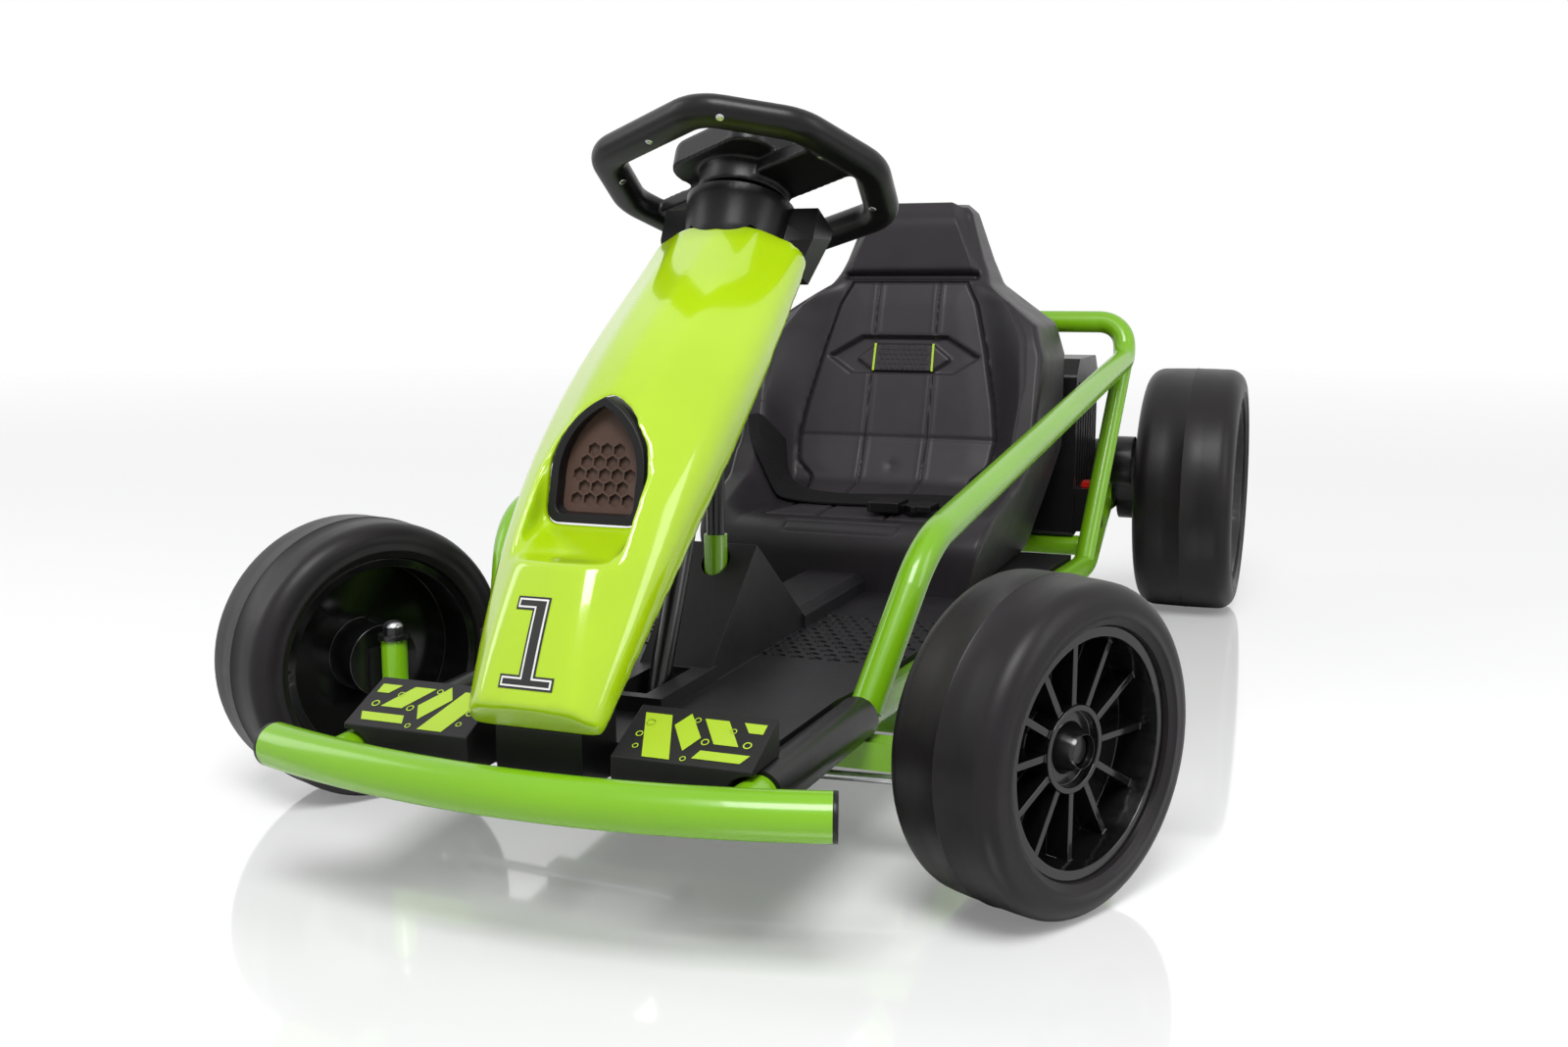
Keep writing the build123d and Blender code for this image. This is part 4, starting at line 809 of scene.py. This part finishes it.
def steering():
    """Moulded wheel with its pad, and screws where rays from below meet its underside."""
    wheel = moulded("steering_wheel_skin", ("steering_wheel", "steering_pad"), *RING_BLEND, "black_plastic")
    place(wheel, "steering", "black_plastic", "steering_wheel", "steering_pad")
    tree = BVHTree.FromObject(wheel, bpy.context.evaluated_depsgraph_get())
    verts, faces = [], []
    for across, up in RING_SCREWS:
        under = at(*RING_AT) - RING_NORMAL * RING_DROP
        middle = under + RING_ACROSS * (across / 1000) + RING_UP * (up / 1000)
        hit, normal = tree.ray_cast(middle - RING_NORMAL * LOOK_OFF, RING_NORMAL)[:2]
        if hit is not None:
            added(verts, faces, *dome(hit, normal, SCREW_R, SCREW_H, SCREW_SIDES, SCREW_RINGS))
    place(mesh_piece("steering_wheel_screws", verts, faces, "zinc", 40), "steering", "zinc_steel")


# Nose, its numeral, and prints on the footrests

# Two points of the line on which the numeral stands
NUMERAL_FOOT = (0.0, -0.2010, 0.1630)
NUMERAL_TOP = (0.0, -0.1810, 0.2150)
HALF_FOOT = 0.0185
FOOT_H = 0.0085
HALF_STEM = 0.0056
FLAG_REACH = 0.0175
FLAG_LOW = 0.0490
NUMERAL_H = 0.0575
NUMERAL_PITCH = 0.002
# Columns: inset from the outline, lift off the hood, material
NUMERAL_LAYERS = (
    (0.0, 0.0004, "black_print"),
    (0.0013, 0.0006, "white_print"),
    (0.0025, 0.0008, "black_print"),
)


def mesh_tree(name):
    """Search tree of a carried-over node in the row frame."""
    node = frame["nodes"][name]
    verts = [node.matrix_world @ v.co for v in node.data.vertices]
    return BVHTree.FromPolygons(verts, [tuple(polygon.vertices) for polygon in node.data.polygons])


def nose():
    """Moulded hood with its numeral."""
    hood = moulded("nose_cone_skin", ("nose_cone",), *NOSE_BLEND, "lime_nose")
    place(hood, "chassis", "lime_nose", "nose_cone")
    numeral(BVHTree.FromObject(hood, bpy.context.evaluated_depsgraph_get()))


def tiled(rows, pitch):
    """Grids of points over rectangles of (low u, low v, high u, high v), as points and faces."""
    points, faces = [], []
    for u0, v0, u1, v1 in rows:
        columns = max(2, int((u1 - u0) / pitch) + 2)
        lines = max(2, int((v1 - v0) / pitch) + 2)
        tile = []
        for i in range(lines):
            for j in range(columns):
                tile.append((u0 + (u1 - u0) * j / (columns - 1), v0 + (v1 - v0) * i / (lines - 1)))
        added(points, faces, tile, grid_faces(lines, columns))
    return points, faces


def numeral(tree):
    """Black figure one with a white inner line, laid on the hood."""
    foot, top = at(*NUMERAL_FOOT), at(*NUMERAL_TOP)
    up = (top - foot).normalized()
    out = Vector((0, -up.z, up.y))
    for inset, lift, material in NUMERAL_LAYERS:
        top_v = NUMERAL_H - inset
        rows = ((-HALF_FOOT + inset, inset, HALF_FOOT - inset, FOOT_H - inset),
                (-HALF_STEM + inset, FOOT_H - inset, HALF_STEM - inset, top_v),
                (-FLAG_REACH + inset, FLAG_LOW + inset, -HALF_STEM + inset, top_v))
        points, faces = tiled(rows, NUMERAL_PITCH)
        verts = []
        for u, v in points:
            start = foot + Vector((u, 0, 0)) + up * v + out * LOOK_OFF
            hit = tree.ray_cast(start, -out)[0]
            verts.append(hit + out * lift)
        piece = mesh_piece(f"nose_numeral_{int(inset * 10000)}", verts, faces, material, 40)
        place(piece, "chassis", "lime_nose")


# Lime prints on the left footrest, mirrored on the right, as corners in (x, back) in millimetres
FOOTREST_PRINTS = (
    ((56, -150), (74, -150), (88, -186), (70, -186)),
    ((79, -158), (86, -147), (100, -166), (93, -178)),
    ((96, -150), (112, -150), (126, -170), (110, -170)),
    ((104, -176), (136, -176), (132, -183), (101, -183)),
    ((122, -150), (137, -150), (137, -158), (128, -158)),
)
# Columns: x, back and radius of the small rings between them
FOOTREST_RINGS = ((63, -158, 3.0), (60, -168, 2.4), (92, -152, 2.2), (104, -169, 2.6), (118, -158, 2.2),
                  (131, -168, 2.8), (96, -184, 2.0), (62, -178, 2.0))
PRINT_STEPS = 6
RING_SIDES = 18
RING_INNER = 0.68
PRINT_LIFT = 0.0003
# Height of a print's point that lies past the rest's edge
REST_TOP = 0.124


def print_points(corners):
    """Grid of points over a print with four corners."""
    points = []
    for i in range(PRINT_STEPS + 1):
        for j in range(PRINT_STEPS + 1):
            low = [corners[0][k] + (corners[1][k] - corners[0][k]) * j / PRINT_STEPS for k in (0, 1)]
            high = [corners[3][k] + (corners[2][k] - corners[3][k]) * j / PRINT_STEPS for k in (0, 1)]
            points.append([low[k] + (high[k] - low[k]) * i / PRINT_STEPS for k in (0, 1)])
    return points


def ring_points(x, back, radius):
    """Outer and inner circle of a small ring."""
    points = []
    for share in (1.0, RING_INNER):
        for k in range(RING_SIDES):
            turn = 2 * pi * k / RING_SIDES
            points.append([x + radius * share * cos(turn), back + radius * share * sin(turn)])
    return points


def footrest_prints():
    """Slanted bars and small rings in lime on the black rests."""
    tree = mesh_tree("footrests")
    points, faces = [], []
    for corners in FOOTREST_PRINTS:
        added(points, faces, print_points(corners), grid_faces(PRINT_STEPS + 1, PRINT_STEPS + 1))
    for ring in FOOTREST_RINGS:
        added(points, faces, ring_points(*ring), grid_faces(2, RING_SIDES, wrap_columns=True))
    for side, name in ((1, "left"), (-1, "right")):
        placed = []
        for x, back in points:
            hit = tree.ray_cast(at(side * x / 1000, back / 1000, LOOK_FROM), DOWN)[0]
            placed.append((hit or at(side * x / 1000, back / 1000, REST_TOP)) - DOWN * PRINT_LIFT)
        piece = mesh_piece(f"footrest_print_{name}", placed, faces, "lime_print", 40)
        place(piece, "chassis", "black_plastic")


# Anti-slip marks of the floor, in metres, and the height above which the pan isn't floor
TREAD_X = (0.030, 0.138)
TREAD_BACK = (0.112, 0.262)
TREAD_PITCH = (0.0150, 0.0135)
TREAD_BELOW = 0.122
# Turn, length, half width and rise of an arm
ARM_TURN = 104
ARM_LENGTH = 0.0058
ARM_HALF = 0.0011
ARM_RISE = 0.0012
# Columns: lift of an arm's foot and top, share of its length, share of its width
ARM_LAYERS = ((-0.0002, 1.0, 1.0), (ARM_RISE, 0.93, 0.72))


def tread_arms(middle):
    """Three arms of one mark, as lists of points."""
    arms = []
    for arm in range(3):
        turn = radians(ARM_TURN + 120 * arm)
        along = Vector((cos(turn), sin(turn), 0))
        across = Vector((-sin(turn), cos(turn), 0))
        points = []
        for lift, long, wide in ARM_LAYERS:
            for reach, offset in ((0, -1), (1, -1), (1, 1), (0, 1)):
                points.append(middle + along * (ARM_LENGTH * reach * long)
                              + across * (ARM_HALF * offset * wide) - DOWN * lift)
        arms.append(points)
    return arms


def tread_marks():
    """Raised three-armed marks in slanted rows on both foot wells."""
    tree = mesh_tree("floor_pan")
    for side, name in ((1, "left"), (-1, "right")):
        verts, faces = [], []
        back, row = TREAD_BACK[0], 0
        while back < TREAD_BACK[1]:
            x = TREAD_X[0] + (row % 2) * TREAD_PITCH[0] / 2
            while x < TREAD_X[1]:
                hit = tree.ray_cast(at(side * x, back, LOOK_FROM), DOWN)[0]
                if hit is not None and hit.z < TREAD_BELOW:
                    for points in tread_arms(hit):
                        added(verts, faces, points, LID_FACES)
                x += TREAD_PITCH[0]
            back += TREAD_PITCH[1]
            row += 1
        piece = mesh_piece(f"floor_tread_{name}", verts, faces, "floor_plastic", 30)
        place(piece, "chassis", "black_plastic")


# Caps over the kingpins: their size, how far they sink in, and the height from which their seat is sought
CAP_R = 0.0078
CAP_H = 0.0048
CAP_SEAT = 0.0002
CAP_LOOK_FROM = 0.25


def dome(centre, axis, radius, height, sides=24, rings=5):
    """Low round cap on a point, closed at its foot."""
    axis = axis.normalized()
    one = axis.orthogonal().normalized()
    two = axis.cross(one)
    verts, faces = [], []
    for i in range(rings):
        turn = radians(90) * i / rings
        for k in range(sides):
            angle = 2 * pi * k / sides
            spread = radius * cos(turn)
            verts.append(centre + one * (spread * cos(angle)) + two * (spread * sin(angle))
                         + axis * (height * sin(turn)))
    faces += grid_faces(rings, sides, wrap_columns=True)
    top = len(verts)
    verts.append(centre + axis * height)
    faces += [((rings - 1) * sides + k, (rings - 1) * sides + (k + 1) % sides, top) for k in range(sides)]
    faces.append(tuple(reversed(range(sides))))
    return verts, faces


def fasteners():
    """Caps over the kingpins."""
    depsgraph = bpy.context.evaluated_depsgraph_get()
    for side, label in ((1, "left"), (-1, "right")):
        hit = bpy.context.scene.ray_cast(depsgraph, at(side * KINGPIN_X, 0, CAP_LOOK_FROM), DOWN)[1]
        verts, faces = dome(hit + DOWN * CAP_SEAT, -DOWN, CAP_R, CAP_H)
        place(mesh_piece(f"kingpin_cap_{label}", verts, faces, "zinc", 40), f"knuckle_{label}", "zinc_steel")


# Edges of carried-over solids

# Columns: node, edge width in metres
ROUNDED_NODES = (
    ("floor_pan", 0.0022), ("footrests", 0.0020), ("pedal", 0.0015), ("nose_bracket", 0.0015),
    ("switch_box", 0.0015), ("power_switch", 0.0010), ("rear_cover", 0.0012), ("gearboxes", 0.0020),
    ("front_beam", 0.0010), ("mid_beam", 0.0010), ("knuckle_left", 0.0008), ("knuckle_right", 0.0008),
    ("rim_front_left", 0.0009), ("rim_front_right", 0.0009), ("rim_rear_left", 0.0010),
    ("rim_rear_right", 0.0010), ("scoop_bezel", 0.0012), ("scoop_mesh", 0.0003), ("bumper_caps", 0.0012),
    ("column_shroud", 0.0025),
)
WELD_WITHIN = 0.00001


def round_edges():
    """Rounds the carried-over solids' edges, so that they catch the light."""
    for name, width in ROUNDED_NODES:
        node = frame["nodes"][name]
        weld = node.modifiers.new("weld", "WELD")
        weld.merge_threshold = WELD_WITHIN
        bevelled(node, width)


# Floor and lamps

FLOOR_HALF = 9.0
FLOOR_COLOUR = (0.86, 0.86, 0.87, 1)
FLOOR_ROUGHNESS = 0.07
FLOOR_SPECULAR = 1.0
FLOOR_IOR = 1.7
# Glow of the floor that only the camera sees, and strength of the world's diffuse light
FLOOR_GLOW = 0.20
WORLD_DIFFUSE = 0.20
# Columns: name, place, target, size, power
LAMPS = (
    ("key", (0.5, -1.9, 2.5), (0, -0.1, 0.2), (1.2, 1.2), 66),
    ("fill", (2.4, -0.6, 1.4), (0, 0, 0.2), (0.8, 1.8), 16),
    ("left", (-2.2, -0.9, 1.5), (0, 0, 0.2), (0.8, 1.6), 12),
)


def stage():
    """Pale glossy floor that runs out to the white world."""
    verts = [(x * FLOOR_HALF, y * FLOOR_HALF, 0) for x, y in ((-1, -1), (1, -1), (1, 1), (-1, 1))]
    mesh = bpy.data.meshes.new("studio_floor")
    mesh.from_pydata(verts, [], [(0, 1, 2, 3)])
    floor = bpy.data.objects.new("studio_floor", mesh)
    bpy.context.scene.collection.objects.link(floor)
    mat = bpy.data.materials.new("floor_white")
    mat.use_nodes = True
    tree = mat.node_tree
    shader = tree.nodes["Principled BSDF"]
    shader.inputs["Base Color"].default_value = FLOOR_COLOUR
    shader.inputs["Roughness"].default_value = FLOOR_ROUGHNESS
    shader.inputs["Specular IOR Level"].default_value = FLOOR_SPECULAR
    shader.inputs["IOR"].default_value = FLOOR_IOR
    glow = tree.nodes.new("ShaderNodeEmission")
    path = tree.nodes.new("ShaderNodeLightPath")
    strength = tree.nodes.new("ShaderNodeMath")
    strength.operation = "MULTIPLY"
    strength.inputs[1].default_value = FLOOR_GLOW
    add = tree.nodes.new("ShaderNodeAddShader")
    tree.links.new(path.outputs["Is Camera Ray"], strength.inputs[0])
    tree.links.new(strength.outputs[0], glow.inputs["Strength"])
    tree.links.new(shader.outputs[0], add.inputs[0])
    tree.links.new(glow.outputs[0], add.inputs[1])
    tree.links.new(add.outputs[0], tree.nodes["Material Output"].inputs["Surface"])
    mesh.materials.append(mat)


def area(name, location, target, size, power):
    """Rectangular lamp that faces its target."""
    light = bpy.data.lights.new(name, "AREA")
    light.shape = "RECTANGLE"
    light.size, light.size_y = size
    light.energy = power
    lamp = bpy.data.objects.new(name, light)
    lamp.location = location
    lamp.rotation_euler = (Vector(target) - Vector(location)).to_track_quat("-Z", "Y").to_euler()
    bpy.context.scene.collection.objects.link(lamp)


def lights():
    """White world, weaker as light than as background, and soft lamps."""
    world = bpy.data.worlds.new("studio")
    bpy.context.scene.world = world
    world.use_nodes = True
    tree = world.node_tree
    back = tree.nodes["Background"]
    back.inputs["Color"].default_value = (1, 1, 1, 1)
    path = tree.nodes.new("ShaderNodeLightPath")
    seen = path.outputs["Is Camera Ray"]
    for ray in ("Is Glossy Ray", "Is Transmission Ray"):
        pick = tree.nodes.new("ShaderNodeMath")
        pick.operation = "MAXIMUM"
        tree.links.new(seen, pick.inputs[0])
        tree.links.new(path.outputs[ray], pick.inputs[1])
        seen = pick.outputs[0]
    spread = tree.nodes.new("ShaderNodeMapRange")
    spread.inputs["To Min"].default_value = WORLD_DIFFUSE
    spread.inputs["To Max"].default_value = 1.0
    tree.links.new(seen, spread.inputs["Value"])
    tree.links.new(spread.outputs["Result"], back.inputs["Strength"])
    for lamp in LAMPS:
        area(*lamp)


def camera():
    """The photograph's view."""
    data = bpy.data.cameras.new("photo_camera")
    data.sensor_width = SENSOR
    data.lens = CAMERA_FOCAL_PX / PHOTO_WIDTH * SENSOR
    data.clip_start = CAMERA_CLIP
    lens = bpy.data.objects.new("photo_camera", data)
    yaw, pitch = radians(CAMERA_YAW), radians(CAMERA_PITCH)
    ahead = Vector((-sin(yaw) * cos(pitch), cos(yaw) * cos(pitch), -sin(pitch)))
    lens.rotation_mode = "QUATERNION"
    lens.rotation_quaternion = ahead.to_track_quat("-Z", "Y")
    lens.location = CAMERA_AT
    bpy.context.scene.collection.objects.link(lens)
    bpy.context.scene.camera = lens


camera()
stage()
lights()
bpy.context.scene.view_settings.view_transform = "Standard"
dress_frame()
tyres()
seat()
buckle()
steering()
nose()
footrest_prints()
tread_marks()
fasteners()
round_edges()
